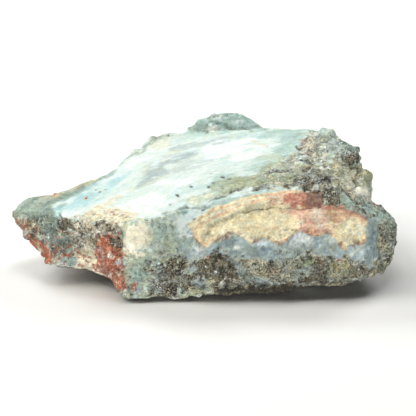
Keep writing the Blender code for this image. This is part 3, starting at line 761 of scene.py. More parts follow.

# %% [markdown]
# ### The foot
#
# The lowest edge is painted as a thin pale line, a painted highlight where it catches the light. Below it
# the stone turns under, and that is painted dark as shade.

# %% The foot's patches
lay_patches((
    ("slate", line(2.6, (216, 288), (236, 284), (262, 283), (290, 283)), 2.0, 0.6),
    # painted highlight: the thin pale line where the lowest edge catches the light
    ("pale slate and highlight", line(1.0, (206, 292), (224, 285), (262, 282.5), (300, 283.5), (340, 281), (362, 276)),
     1.0, 0.5),
    # painted shade under the ledge
    ("dark slate and shade", line(4, (284, 283), (306, 282), (330, 279)), 2.0, 0.9),
    ("dark rock", line(3, (280, 281.5), (306, 281), (330, 278)), 1.6, 0.8),
    # painted highlight along the lowest edge at the left
    ("pale slate and highlight", line(1.2, (124, 298), (150, 298.5), (180, 298.5), (198, 295), (222, 287)), 1.0, 0.6),
    # painted shade where the stone turns under, below its lowest edge
    ("dark rock", line(9, (218, 290), (240, 289), (262, 290), (304, 288)), 2.0, 0.95),
    ("dirty rock and shade", line(8, (218, 291), (240, 290), (264, 291), (296, 288)), 2.5, 0.85),
    ("dirty rock and shade", line(4, (250, 288), (280, 287), (300, 286)), 2.0, 0.6),
    ("dark rock", line(2.4, (286, 282.5), (300, 281.5), (318, 281)), 1.4, 0.6),
    ("slate", line(2.4, (296, 285), (316, 284), (340, 282), (358, 279)), 1.4, 0.8),
))

# %% [markdown]
# ### The cream boss
#
# The boss is a rounded lump of cream mineral. Soft patches lie over each other from the dull to the
# bright, with the dome's soft shade painted yellowish at its centre right, and two hair lines cross it.

# %% The boss's patches
lay_patches((
    ("cream boss", outline((121, 238), (125, 228), (132, 222), (142, 223), (149, 228), (151, 236), (148, 245),
                           (141, 251), (130, 253), (122, 248)), 8.0, 1.0),
    ("cream boss", oval(133, 238, 11, 13), 6.0, 0.9),
    ("sage", line(5, (150, 228), (152, 238), (148, 248)), 6.0, 0.4),
    ("pale teal", outline((122, 230), (128, 227), (133, 234), (131, 241), (123, 240)), 4.0, 0.8),
    # the boss's own yellowish tint, with the dome's soft painted shade at its right
    ("straw", oval(140, 237, 6, 9, -25), 6.0, 0.7),
    ("bleached", line(4, (132, 229), (138, 226), (143, 230)), 4.0, 0.7),
    ("bleached", outline((121, 240), (128, 238), (134, 245), (137, 252), (129, 252)), 3.0, 1.0),
    ("khaki", line(0.9, (131, 229), (133, 239), (140, 248)), 0.8, 0.5),
    ("khaki", line(0.9, (133, 239), (142, 235), (147, 237)), 0.8, 0.35),
    ("khaki", line(1.6, (121, 234), (124, 227), (131, 221), (142, 220)), 1.2, 0.7),
))

# %% [markdown]
# ### The edge between the plate and the front
#
# A strip of pale larimar shows between the plate and the crust. A groove runs along it, painted dark
# as shade, and the strip is whitest at the crust's left tip, where its steep face also gets a painted
# highlight.

# %% The edge's patches
lay_patches((
    ("pale teal", outline((178, 212), (190, 209), (206, 208), (214, 201), (240, 193), (262, 190.5),
                          (300, 188.5), (320, 189), (300, 190.5), (270, 194), (240, 200), (212, 210),
                          (196, 219), (186, 227), (178, 224)), 2.5, 0.95),
    ("milk", line(9, (180, 223), (190, 217), (204, 211)), 4.0, 1.0),
    ("ice blue", line(3, (196, 214), (210, 206), (226, 199), (240, 196)), 2.0, 0.8),
    ("turquoise", oval(202, 210, 6, 2.4, 30), 2.0, 0.5),
    ("snow and highlight", line(3, (177, 226.5), (188, 222.5), (197, 217)), 4.0, 0.9),
    ("ice blue", line(3, (192, 216.5), (202, 211), (214, 205.5)), 3.0, 0.7),
    ("milk", line(3, (226, 200), (238, 196), (252, 192)), 2.0, 0.6),
    ("milk", line(1.6, (286, 190), (318, 189.5)), 1.0, 0.9),
    # painted shade in the groove, carried on by the speckled line
    ("groove shade", line(1.8, (162, 214), (178, 209.5), (186, 207.5), (204, 208)), 1.4, 0.75),
    ("groove shade", line(1.5, (204, 207.5), (209, 202.5), (216, 198.5), (224, 196), (232, 192.5)), 1.2, 0.85),
    ("speckled rock", line(3.0, (232, 191.5), (246, 189), (266, 187), (284, 186.5), (300, 187)), 1.4, 0.9),
))

# %% [markdown]
# ### The crust
#
# A tan crust covers the front's right half in two steps. It is ochre at its left edge and red where
# iron has stained it, and its lower edge is torn.

# %% The crust's patches
CRUST = outline((188, 226), (194, 220), (202, 214), (211, 208.5), (220, 205), (230, 203), (239, 200),
                (248, 197), (258, 195), (271, 193), (286, 191), (301, 190.5), (322, 192), (323, 206),
                (335, 206), (344, 207), (352, 211), (360, 216), (368, 221), (366, 230), (366, 240),
                (363, 246), (356, 243), (350, 244), (347, 250), (343, 252), (340, 247), (336, 241),
                (333, 236), (329, 231), (325, 234), (320, 237), (314, 237), (308, 233), (302, 229),
                (297, 232), (291, 237), (286, 242), (280, 245), (273, 243), (266, 239), (258, 241),
                (252, 244), (246, 240), (238, 236), (233, 233), (228, 234), (222, 237), (214, 243),
                (208, 249), (203, 247), (197, 240), (191, 231))
lay_patches((("tan crust", CRUST, 0.8, 1.0),))
scatter("khaki", CRUST, 2.0, 0.25, 0.35)
scatter("cream crust", CRUST, 1.8, 0.35, 0.4)
scatter("ochre", CRUST, 2.2, 0.2, 0.35)
lay_patches((
    ("straw crust", outline((222, 228), (240, 216), (262, 212), (290, 212), (292, 230), (276, 238),
                            (256, 238), (238, 232)), 6.0, 0.75),
    ("khaki", line(7, (205, 241), (211, 229), (222, 221), (234, 216), (250, 209), (274, 204)), 5.0, 0.75),
    ("olive rock", line(2, (208, 236), (213, 228), (224, 221), (232, 217)), 3.0, 0.3),
    ("khaki", line(3, (214, 232), (226, 224), (240, 220)), 3.0, 0.4),
    ("khaki", line(3, (200, 220), (208, 215), (216, 211)), 2.0, 0.5),
    ("khaki", line(2, (244, 236), (262, 232), (284, 236)), 2.0, 0.5),
    ("cream crust", line(3, (222, 230), (240, 226), (262, 227)), 3.0, 0.6),
    ("straw crust", line(6, (262, 222), (276, 222), (288, 218)), 4.0, 0.6),
    ("straw crust", line(2, (202, 219), (222, 210), (244, 203)), 2.0, 0.8),
    ("ochre", line(1.4, (191, 224), (204, 216), (218, 209), (232, 205)), 1.4, 0.8),
    ("cream crust", line(2.4, (194, 226), (206, 218.5), (222, 211), (240, 204.5), (262, 199)), 1.6, 0.55),
    ("ochre", line(1.8, (198, 227), (208, 220.5), (222, 214), (236, 208), (252, 203.5), (272, 200)),
     1.4, 0.9),
    ("cream crust", line(1.4, (206, 225), (222, 217), (238, 211)), 1.2, 0.8),
    ("cream crust", line(0.8, (200, 223), (212, 216), (228, 209.5), (244, 205)), 0.8, 0.6),
    ("brick", line(0.7, (202, 223.5), (216, 216), (230, 210), (246, 205)), 0.8, 0.3),
    ("ochre", line(2.6, (250, 198), (266, 195.5), (286, 193)), 2.0, 0.7),
    ("ochre", line(5, (194, 229), (198, 236), (204, 243)), 3.0, 0.55),
    ("straw crust", line(3, (199, 230), (203, 238)), 2.0, 0.7),
    ("brown tan", line(1.4, (190, 230), (197, 240), (204, 247)), 1.0, 0.7),
    ("brick", line(1.0, (214, 212), (226, 208), (236, 205)), 1.0, 0.35),
    ("ochre", line(2, (244, 226), (262, 230), (278, 228)), 2.0, 0.4),
))

# %% [markdown]
# ### Iron in the crust
#
# Iron has stained the crust's right half from rose to maroon, most of all the block at its top.

# %% The red patches
lay_patches((
    ("rose", outline((288, 216), (300, 208), (318, 206), (328, 210), (328, 220), (316, 228), (298, 222)),
     3.5, 0.8),
    ("rose", outline((296, 229), (304, 223), (326, 222), (330, 230), (318, 236), (304, 232)), 2.5, 0.9),
    ("brick", line(5, (302, 228), (312, 231), (322, 230)), 3.0, 0.5),
    ("cream crust", oval(316, 215, 7, 5, 20), 3.0, 0.75),
    ("cream crust", oval(318, 226, 7, 2.5, 10), 2.0, 0.5),
    ("brick", line(2.5, (276, 211), (290, 212), (302, 218), (312, 224)), 2.5, 0.6),
    ("brick", line(3, (302, 210), (312, 207.5), (322, 207)), 2.5, 0.6),
    ("rose", outline((276, 196), (290, 192), (304, 191), (304, 194), (290, 196), (280, 204)), 2.0, 0.6),
    ("brick", line(6, (274, 203), (284, 201), (292, 201)), 4.0, 0.6),
    ("brick", outline((284, 197), (296, 194), (305, 193), (306, 207), (292, 208.5), (280, 206)), 3.0, 1.0),
    ("maroon", outline((304, 191.5), (322, 192), (323, 206), (304, 207.5)), 1.5, 0.9),
    ("brick", line(1.5, (304.5, 192), (304.5, 207)), 1.0, 0.5),
    ("brick", line(6, (324, 208.5), (338, 208), (350, 212), (365, 221)), 3.0, 0.75),
    ("rose", line(3, (338, 212), (352, 217), (362, 222)), 2.0, 0.6),
    ("brown tan", outline((327, 212), (336, 211), (346, 216), (348, 224), (338, 228), (328, 222)), 2.5, 0.9),
    ("brick", oval(340, 224, 4, 2.5, -30), 2.0, 0.4),
    ("straw crust", outline((331, 228), (344, 223), (362, 226), (364, 240), (350, 242), (340, 240)),
     3.0, 0.9),
    ("cream crust", oval(352, 231, 10, 7), 4.0, 1.0),
    ("brown tan", line(3, (364, 222), (366, 232), (364, 242)), 1.6, 0.6),
))

# %% [markdown]
# ### The torn lower edge
#
# The crust ends in a ragged edge over the slate, with a thin dark rim where it tore.

# %% The torn edge's patches
lay_patches((
    ("bleached", oval(352, 232, 8, 5), 5.0, 0.4),
    ("maroon", oval(353, 241, 3, 1.6), 1.4, 0.45),
    ("maroon", oval(360, 243, 2.6, 2), 1.4, 0.5),
    ("brown tan", line(4.0, (338, 243), (343, 250), (348, 245)), 1.6, 0.7),
    ("maroon", oval(327, 231, 3, 2), 1.8, 0.5),
    ("maroon", line(1.6, (196, 239), (203, 246), (209, 248)), 1.0, 0.5),
    ("maroon", oval(231, 233.5, 3, 1), 1.0, 0.4),
    ("maroon", line(1.2, (252, 243), (258, 240.5), (266, 238.5), (271, 240)), 1.0, 0.45),
    ("brown tan", line(2.2, (272, 242), (280, 244), (286, 241)), 1.4, 0.7),
    ("brick", line(2.2, (286, 240), (291, 236)), 1.4, 0.6),
    ("maroon", oval(295, 232, 2.4, 1.4, 40), 1.2, 0.5),
    ("maroon", line(1.2, (301, 228.5), (307, 232.5), (316, 236.5), (321, 235.5)), 1.0, 0.5),
    # painted shadow under the step where the crust's upper strip overhangs the lower one
    ("crack and shade line", line(0.7, (243, 213), (258, 210), (277, 208.5), (300, 209.5), (322, 208)), 0.8, 0.7),
    ("slate", oval(287, 230, 2.2, 1.7), 0.9, 0.8),
))

# %% [markdown]
# ### The left wall and the nose
#
# Left of the boss the wall is hollowed. It has a column of rust at its right, dark tufts under the
# rim, and rust again along the lower edge of the nose.

# %% The left wall's patches
WALL = outline((14, 216), (22, 212), (36, 213), (52, 214), (66, 219), (96, 223), (112, 227), (122, 233),
               (124, 300), (108, 290), (104, 280), (60, 270), (46, 266), (40, 250), (22, 232))
lay_patches((("grey green", WALL, 1.5, 1.0),))
scatter("taupe rock", WALL, 2.0, 0.3, 0.7)
scatter("olive rock", WALL, 1.6, 0.2, 0.7)
scatter("slate", WALL, 2.2, 0.3, 0.6)
lay_patches((
    ("sea grey", outline((13, 213), (20, 204), (34, 203), (46, 208), (58, 214), (60, 230), (50, 236),
                         (42, 226), (32, 218)), 2.5, 0.95),
    ("teal in shade", line(10, (46, 210), (52, 220), (56, 230)), 5.0, 0.8),
    ("teal in shade", outline((48, 230), (60, 233), (72, 236), (76, 246), (68, 258), (54, 258), (48, 244)),
     3.0, 0.9),
    ("dirty rock and shade", oval(60, 246, 11, 9), 7.0, 0.2),
    ("moss", oval(28, 208, 14, 7), 8.0, 0.25),
    ("speckled rock", outline((16, 216), (24, 215), (34, 216), (41, 224), (38, 234), (28, 232), (20, 226)),
     4.0, 0.5),
    ("taupe rock", outline((16, 219), (26, 218), (38, 226), (42, 240), (30, 238), (20, 228)), 3.0, 0.8),
    ("rust", line(4, (18, 222), (24, 230), (32, 237), (40, 244)), 3.0, 0.8),
    ("dirty rock and shade", line(6, (28, 226), (36, 232), (44, 240)), 5.0, 0.25),
    ("dark rock", oval(36, 221, 5, 4, -30), 2.5, 0.8),
    ("dark rock", oval(36, 233, 4, 5, -30), 2.5, 0.7),
    ("brown tan", oval(39, 228, 3, 5, 0), 2.5, 0.5),
))

# %% [markdown]
# ### Under the rim
#
# Right of the nose the rim overhangs a little. Under it are dark tufts and bleached bone-coloured
# rock, and rust has run down over both.

# %% The patches under the rim
lay_patches((
    ("taupe rock", outline((70, 222), (84, 220), (100, 224), (104, 236), (98, 246), (84, 250), (74, 240)),
     3.0, 0.95),
    ("lichen cream", outline((72, 226), (78, 222), (92, 222), (94, 230), (84, 232), (76, 236)), 4.0, 0.5),
    ("dark rock", oval(84, 231, 5, 4, 30), 2.0, 0.5),
    ("dark rock", oval(88, 241, 4, 2.5, 20), 1.6, 0.5),
    ("dark rock", outline((56, 217), (60, 214), (66, 218), (73, 222), (72, 228), (64, 230), (56, 231)),
     2.2, 0.95),
    ("dirty rock and shade", oval(64, 224, 6, 5), 4.0, 0.5),
    ("rust", line(2.2, (60, 231), (66, 231), (71, 234)), 1.6, 0.7),
    ("taupe rock", outline((92, 222), (104, 220), (114, 225), (121, 233), (112, 236), (98, 234)), 2.0, 0.8),
    ("dark rock", outline((94, 221), (104, 219), (108, 225), (98, 229)), 1.8, 0.9),
    ("dark rock", outline((108, 224), (114, 225), (122, 233), (120, 238), (112, 235), (104, 232)), 2.0, 0.55),
    ("maroon", oval(98, 236, 3, 3.4), 1.5, 0.9),
    ("pale teal", outline((62, 258), (70, 252), (77, 256), (76, 268), (64, 267)), 3.0, 0.85),
    ("rust stain", outline((44, 232), (60, 234), (84, 246), (104, 250), (106, 278), (60, 270), (44, 262)),
     4.0, 1.0),
    ("bone", outline((76, 252), (88, 246), (96, 252), (100, 262), (106, 276), (88, 273), (76, 268)),
     3.0, 0.95),
    ("bleached", line(9, (80, 260), (92, 265), (103, 274)), 4.0, 0.9),
    ("rust", outline((31, 236), (37, 237), (45, 244), (50, 251), (52, 262), (44, 264), (40, 250), (30, 240)),
     1.6, 1.0),
    ("rust", line(3, (22, 223), (27, 231), (34, 238)), 2.0, 0.8),
    ("rust", oval(57, 250, 2, 4), 1.2, 0.9),
    ("rust", line(1.8, (56, 264), (63, 258), (72, 253)), 1.4, 0.9),
    ("rust", line(1.4, (76, 250), (84, 256), (96, 258)), 1.2, 0.8),
    ("rust", line(1.2, (76, 258), (86, 260), (96, 266)), 1.2, 0.8),
    ("rust", line(1.2, (80, 264), (90, 266), (100, 272)), 1.2, 0.7),
    ("rust", line(5, (96, 250), (99, 262), (105, 274)), 3.0, 0.6),
))

# %% [markdown]
# ### The rust column
#
# The column is the reddest place on the stone. A dark hole and a few pale crystals sit in it.

# %% The column's patches
lay_patches((
    ("rust", outline((95, 244), (103, 235), (112, 233), (119, 234), (121, 242), (123, 254), (124, 270),
                     (126, 284), (124, 294), (118, 294), (112, 285), (106, 276), (99, 268), (96, 258)),
     1.6, 1.0),
    ("dark rock", outline((111, 237), (117, 236), (121, 242), (118, 247), (113, 245)), 1.4, 0.95),
    ("pale slate and highlight", oval(102, 256, 1.6, 3), 1.0, 0.9),
    ("pale slate and highlight", outline((108, 257), (112, 252), (119, 253), (117, 259), (110, 259)), 1.0, 0.95),
    ("crack and shade line", line(1.0, (110, 258.5), (120, 256.5), (130, 257)), 0.8, 0.85),
    ("pale slate and highlight", oval(119, 262, 3.4, 2), 1.0, 0.85),
    ("lichen cream", oval(111, 273, 2.6, 3.8, 0), 1.2, 0.9),
    ("bone", line(2.5, (104, 276), (110, 284), (116, 293)), 1.4, 0.5),
    ("grey green", oval(124, 294, 4, 4), 2.0, 0.8),
    # painted highlight: a thin bright line where the nose's lowest edge catches the light
    ("milk", line(1.3, (50, 263.5), (66, 266.5), (80, 269.5), (96, 275), (107, 279)), 0.9, 0.85),
    ("crack and shade line", line(1.4, (14, 214), (20, 226), (28, 237), (40, 248), (43, 258)), 1.0, 0.7),
))

# %% [markdown]
# ### The knob
#
# The knob behind the plate is teal, with a pale boss in its middle and shaded sides.

# %% The knob's patches
lay_patches((
    ("teal rock", outline((178, 131), (184, 124), (198, 114), (222, 106), (262, 112), (270, 128),
                          (230, 130.5)), 2.0, 1.0),
    ("sea grey", outline((180, 131), (188, 127), (200, 119), (208, 119), (207, 130), (192, 132)), 4.0, 0.4),
    ("pale teal", outline((204, 119), (214, 113), (242, 113), (262, 122), (264, 130), (226, 127)), 4.0, 0.6),
    ("pale teal", line(6, (198, 122), (210, 117), (226, 115), (250, 119)), 4.0, 0.9),
    ("pale slate and highlight", oval(220, 117, 10, 2.6), 2.0, 0.5),
    ("pale teal", oval(244, 124, 12, 5), 3.0, 0.8),
    ("pale teal", oval(215, 127, 8, 4), 1.5, 1.0),
    ("lichen cream", oval(214, 127.5, 5.5, 2.6), 1.5, 0.5),
    ("pale slate and highlight", oval(240, 123, 13, 4), 5.0, 0.35),
    ("speckled rock", line(3, (208, 117), (220, 115.5), (230, 116)), 2.0, 0.35),
    ("teal in shade", line(3, (224, 124), (229, 128), (236, 129.5), (252, 130)), 1.6, 0.8),
    ("teal in shade", line(2, (206, 131), (207, 126), (211, 122.5), (220, 122.5)), 1.2, 0.7),
    ("teal in shade", line(2, (250, 118), (258, 122), (266, 129)), 1.6, 0.6),
    ("crack and shade line", line(1.0, (208, 115), (214, 113.5), (222, 113.5)), 0.8, 0.6),
))
scatter("pale teal", oval(224, 120, 40, 10), 1.6, 0.25, 0.6)

# %% [markdown]
# ### Grains in the rust
#
# Rust isn't one colour. Small pieces of maroon and rose, pale crystals and dark rock are scattered
# over the column and the nose's lower edge.

# %% Grains in the rust
COLUMN = outline((98, 252), (104, 242), (116, 240), (122, 262), (126, 292), (114, 288), (102, 268))
EDGE_RUST = outline((16, 218), (26, 222), (40, 230), (60, 234), (78, 246), (80, 262), (60, 268), (44, 264),
                    (34, 244))
scatter("maroon", COLUMN, 1.5, 0.25, 0.6)
scatter("rust", EDGE_RUST, 0.9, 0.2, 0.9)
scatter("dark rock", EDGE_RUST, 0.9, 0.08, 0.7)
scatter("rose", COLUMN, 1.0, 0.14, 0.7)
scatter("pale slate and highlight", COLUMN, 0.9, 0.1, 0.8)

# %% [markdown]
# ### Pits and dots
#
# Pits in the plate and holes in the rock are black, and a few brown specks lie in the trough. Each
# is a place in the picture with a size, so one loop lays them all.

# %% Pits and dots
PITS = ((192, 186.5, 1.7), (209, 186.5, 1.3), (222.5, 176.5, 1.6), (229.5, 178.5, 1.1), (211, 173, 1.0),
        (214, 182, 0.9), (224, 189, 1.0), (231, 192, 1.1), (178, 195, 1.1), (170, 204.5, 1.0),
        (169, 136, 0.9), (152, 144, 0.8), (206, 208, 1.2), (126, 273, 1.9), (131, 277, 1.2),
        (131, 294.5, 1.3), (146, 261, 1.3), (141, 275, 1.0), (152, 246, 1.3), (171, 221, 1.4),
        (172, 226, 1.0), (159, 227.5, 1.0), (147, 220, 1.2), (216, 261, 1.2), (242, 256.5, 1.3),
        (292, 231, 1.0), (34, 218, 1.1), (37, 222, 1.1), (203, 209, 1.3), (188, 207, 1.2), (118, 238, 1.2),
        (280, 259, 1.2))
RUST_DOTS = ((30, 206, 1.2), (55, 193.5, 1.6), (106, 189, 1.3), (103, 190.5, 1.0), (100, 192, 1.2),
             (92, 195, 1.0), (86, 199, 0.9), (112, 213, 1.0), (114, 215, 1.1), (118, 216, 0.8),
             (104, 218, 1.0), (120, 213, 0.9), (99, 186, 0.8), (96, 189.5, 0.9))
lay_patches(tuple(("black", oval(u, v, 1.2 * size, 0.75 * size), 0.6, 0.95) for u, v, size in PITS))
lay_patches(tuple(("rust", oval(u, v, 1.3 * size, 0.8 * size), 0.6, 0.85) for u, v, size in RUST_DOTS))

# %% [markdown]
# ### Grains in the crust
#
# The crust is fine sand baked hard. Small pieces of maroon follow its torn edge, brick red gathers
# at its right, and khaki and bleached grains lie all over it.

# %% Grains in the crust
TORN_EDGE = line(2.2, (197, 241), (203, 247), (214, 243), (222, 237), (233, 233), (246, 240), (252, 243),
                 (266, 238), (280, 244), (291, 236), (302, 229), (314, 236), (325, 233), (333, 236),
                 (343, 251), (350, 243), (363, 245), (366, 231))
RED_BLOCK = outline((278, 203), (286, 196), (305, 193), (322, 192), (323, 206), (306, 207), (284, 206))
RED_RIGHT = outline((292, 224), (304, 222), (328, 210), (350, 212), (364, 221), (330, 234), (300, 232))
scatter("maroon", TORN_EDGE, 0.7, 0.35, 0.8)
scatter("maroon", RED_BLOCK, 0.6, 0.25, 0.3)
scatter("cream crust", RED_BLOCK, 0.5, 0.1, 0.35)
scatter("brick", RED_RIGHT, 0.7, 0.3, 0.3)
scatter("khaki", CRUST, 0.6, 0.2, 0.25)
scatter("bleached", CRUST, 0.5, 0.16, 0.3)

# %% [markdown]
# ### Last shades: the plate and the knob
#
# A stone's colours pass into each other without an edge. So once all the minerals lie in place,
# broad weak patches of them are laid over one another again, area by area, until each is as light
# or as dark as on the real stone. A cover of 0.5 leaves half of what lay there before. The trough
# is painted darker teal at its far side, as shade along the rim, and the plate's back edge is straw
# and sage.

# %% Last shades of the plate and the knob
lay_patches((
    ("trough blue", line(6, (58, 206), (68, 200), (80, 194)), 5.0, 0.6),
    ("teal in shade", line(6, (56, 202), (68, 196), (82, 189)), 5.0, 0.7),
    ("ice blue", oval(56, 214, 6, 4), 3.0, 0.8),
    ("teal in shade", oval(66, 203, 7, 4, 25), 4.0, 0.4),
    ("moss", oval(246, 194, 8, 2, -8), 2.0, 0.3),
    ("pale slate and highlight", oval(215, 127, 7, 3), 2.0, 0.4),
    ("straw", oval(160, 145, 10, 5, 20), 5.0, 0.35),
    ("sage", oval(272, 159, 9, 5, 20), 4.0, 0.5),
))

# %% [markdown]
# ### Last shades: the left wall
#
# The teal of the nose runs down over its edge into a hollow, with dark rock at both sides.

# %% Last shades of the left wall
lay_patches((
    ("dirty rock and shade", line(3, (22, 226), (32, 234), (42, 244)), 3.0, 0.35),
    ("dark rock", outline((28, 221), (40, 219), (52, 220), (58, 230), (56, 240), (44, 241), (34, 234)),
     5.0, 0.5),
    ("dirty rock and shade", oval(47, 230, 9, 10), 7.0, 0.3),
    ("dark rock", oval(84, 240, 14, 9), 6.0, 0.35),
    ("dark rock", oval(66, 234, 9, 5), 5.0, 0.4),
    ("dirty rock and shade", oval(45, 236, 8, 7), 5.0, 0.35),
    ("teal in shade", outline((34, 213), (50, 211), (57, 219), (58, 232), (48, 237), (41, 230), (38, 222)),
     4.0, 0.75),
    ("teal rock", oval(26, 212, 9, 5), 4.0, 0.25),
    ("dark rock", oval(35, 222, 4, 3.4), 2.0, 0.6),
    ("dark rock", oval(64, 224, 7, 5), 3.0, 0.45),
    ("teal in shade", oval(56, 246, 9, 8), 5.0, 0.4),
    ("maroon", line(2, (24, 228), (30, 236), (38, 242), (44, 250)), 2.0, 0.35),
))

# %% [markdown]
# ### Last shades: the left of the front
#
# The boss pales to cream in its middle, and the rock round it goes from sage to grey green.

# %% Last shades of the left front
lay_patches((
    ("bleached", oval(134, 239, 10, 12), 6.0, 0.5),
    ("larimar white", oval(158, 252, 9, 8), 6.0, 0.35),
    ("cream crust", oval(125, 275, 4, 8), 3.0, 0.5),
    ("sage", oval(145, 265, 6, 5), 4.0, 0.5),
    ("dark rock", oval(156, 266, 7, 5), 4.0, 0.5),
    ("dark rock", oval(175, 256, 8, 4), 4.0, 0.35),
    ("taupe rock", oval(126, 256, 6, 5), 4.0, 0.5),
    ("rust", line(1.6, (120, 250), (126, 258), (128, 266)), 2.0, 0.5),
    ("grey green", oval(145, 285, 6, 7), 4.0, 0.6),
    ("cream crust", oval(116, 286, 5, 6), 4.0, 0.35),
    ("lichen cream", oval(134, 233, 8, 6), 5.0, 0.35),
    ("slate", line(6, (110, 271), (104, 262), (101, 254)), 6.0, 0.12),
    ("lichen cream", oval(146, 244, 4, 5), 3.0, 0.4),
))

# %% [markdown]
# ### Last shades: beside the crust's tip
#
# Where the crust ends in a tip at the left, the larimar under it shows nearly white, and its steep face is
# painted brighter still as a highlight.

# %% Last shades beside the tip
lay_patches((
    ("larimar white", oval(178, 225, 9, 8), 6.0, 0.4),
    # painted highlight on the steep face beside the tip, over the larimar's own white
    ("snow and highlight", line(4, (179, 225), (188, 221), (198, 213), (206, 208.5)), 3.5, 1.0),
    ("snow and highlight", oval(183, 223, 6, 3), 3.0, 0.8),
    ("pale slate and highlight", oval(186, 230, 6, 8), 4.0, 0.5),
    ("snow and highlight", line(3, (180, 219), (187, 215), (196, 210)), 2.5, 0.8),
    ("turquoise", line(1.6, (182, 217), (188, 214), (196, 209)), 2.0, 0.25),
    ("pale slate and highlight", oval(184, 236, 5, 4), 3.0, 0.6),
    ("bleached", line(1.4, (189, 226), (190.5, 232)), 1.4, 0.7),
))

# %% [markdown]
# ### Last shades: the corner and the shelf
#
# The hollows between the corner's lumps are painted dark as shade, and the sandy chunk at its end is
# bleached.

# %% Last shades of the corner and the shelf
lay_patches((
    ("dark rock", oval(316, 186, 11, 4), 3.0, 0.6),
    ("dark rock", oval(292, 186, 9, 3), 3.0, 0.5),
    ("bleached", oval(362, 192, 8, 5), 3.0, 0.9),
    ("lichen cream", oval(355, 176, 6, 9), 4.0, 0.7),
    ("pale teal", oval(335, 146, 6, 6), 4.0, 0.6),
    ("grey green", oval(325, 174, 6, 4), 3.0, 0.5),
    ("pale slate and highlight", oval(335, 146, 7, 6), 4.0, 0.5),
    ("dark rock", oval(296, 184, 8, 4), 4.0, 0.4),
    ("dark rock", oval(315, 184, 11, 4), 3.0, 0.5),
    ("dark rock", oval(316, 156, 13, 3), 4.0, 0.15),
    ("pale teal", oval(392, 224, 4, 6), 2.0, 0.4),
    ("olive rock", oval(345, 170, 6, 3), 3.0, 0.6),
    ("pale teal", oval(384, 214, 8, 4, -25), 4.0, 0.5),
    ("dark rock", oval(315, 185, 5, 4), 3.0, 0.4),
    ("lichen cream", oval(355, 195, 5, 4), 3.0, 0.5),
))

# %% [markdown]
# ### Last shades: the low rock
#
# The pockets of dark crystals are darkest in their middles, and painted shade gathers along the foot.

# %% Last shades of the low rock
lay_patches((
    ("dark rock", oval(212, 276, 13, 5), 3.0, 0.7),
    ("dark rock", oval(256, 265, 8, 5), 4.0, 0.45),
    ("dark rock", oval(354, 267, 8, 6), 4.0, 0.45),
    # painted shade under the right of the foot
    ("dark rock", oval(344, 283, 16, 3), 2.0, 0.7),
    ("pale slate and highlight", oval(296, 275, 5, 4), 3.0, 0.4),
    ("dark rock", oval(214, 276, 10, 5), 4.0, 0.4),
    # painted shade along the foot, here and in the low lines below
    ("dirty rock and shade", line(3.5, (200, 287), (222, 285), (250, 284.5), (280, 285)), 2.0, 0.55),
    ("dark rock", oval(325, 265, 8, 7), 4.0, 0.35),
    ("dark rock", line(3, (344, 279), (358, 275), (374, 268)), 2.0, 0.8),
    ("dark rock", line(2, (376, 268), (384, 262), (392, 250)), 2.0, 0.5),
    ("dirty rock and shade", line(1.4, (296, 282.5), (330, 281.5), (352, 278)), 1.4, 0.35),
    ("pale teal", oval(296, 275, 5, 4), 3.0, 0.5),
    ("moss", oval(342, 268, 8, 5), 4.0, 0.5),
    ("dark rock", oval(300, 283, 14, 2), 1.5, 0.5),
    ("dark rock", oval(245, 284, 6, 3), 2.0, 0.5),
    ("dark rock", oval(215, 276, 5, 4), 3.0, 0.4),
))

# %% [markdown]
# ### Last shades: the slate band
#
# The band is painted darker slate where it bends in and paler slate where it bends out, as painted shade and
# painted light.

# %% Last shades of the slate band
lay_patches((
    ("dark slate and shade", oval(374, 237, 4, 12), 3.0, 0.6),
    ("pale slate and highlight", oval(302, 240, 7, 2.4), 2.0, 0.6),
    ("dark slate and shade", oval(238, 251, 6, 4), 3.0, 0.5),
    ("dark slate and shade", oval(245, 249, 8, 6), 5.0, 0.5),
    ("dark slate and shade", oval(322, 240, 8, 3), 3.0, 0.6),
    ("dark slate and shade", oval(206, 252, 5, 3), 3.0, 0.5),
    ("slate", oval(296, 246, 8, 3), 3.0, 0.5),
))

# %% [markdown]
# ### Last shades: the crust
#
# Rose, straw and a little dirt bring the two steps of the crust together.

# %% Last shades of the crust
lay_patches((
    ("maroon", outline((306, 193), (321, 193.5), (322, 205), (306, 206)), 2.0, 0.6),
    ("khaki", oval(206, 243, 5, 4), 3.0, 0.4),
    ("brick", line(1.5, (287, 206), (298, 207.5), (308, 207)), 1.0, 0.8),
    ("maroon", line(1.5, (308, 207), (321, 205)), 1.0, 0.6),
    ("dirty rock and shade", oval(312, 199, 9, 6), 5.0, 0.15),
    ("rose", oval(310, 216, 8, 4), 4.0, 0.4),
    ("straw crust", oval(350, 228, 10, 6), 5.0, 0.5),
    ("brown tan", oval(205, 245, 5, 4), 3.0, 0.6),
    ("rose", oval(295, 214, 8, 5), 4.0, 0.6),
    ("maroon", line(1.6, (318, 236), (326, 232.5), (332, 235)), 1.5, 0.6),
    ("khaki", line(1.6, (196, 222), (206, 216), (218, 210)), 1.6, 0.5),
    ("straw crust", oval(240, 225, 16, 6), 6.0, 0.5),
    ("brick", line(1.2, (288, 206.5), (298, 207.5), (307, 207.5)), 1.0, 0.8),
    ("maroon", line(1.2, (308, 207), (321, 205.5)), 1.0, 0.6),
))
rusty_share = float((paint[:, FIELDS.index("rust")] > 0.4).mean())
print("rust covers", round(100 * rusty_share, 1), "% of the points")

# %% [markdown]
# ## Lumps and hollows
#
# The broken front isn't flat under its grains. A lump or a hollow of a few millimetres has a shape
# in the picture too, and a height in millimetres that rises from its edge over some pixels. Noise
# adds lower swells between them, and small pushes at the rim bring the stone's edge to where the
# photograph has it.

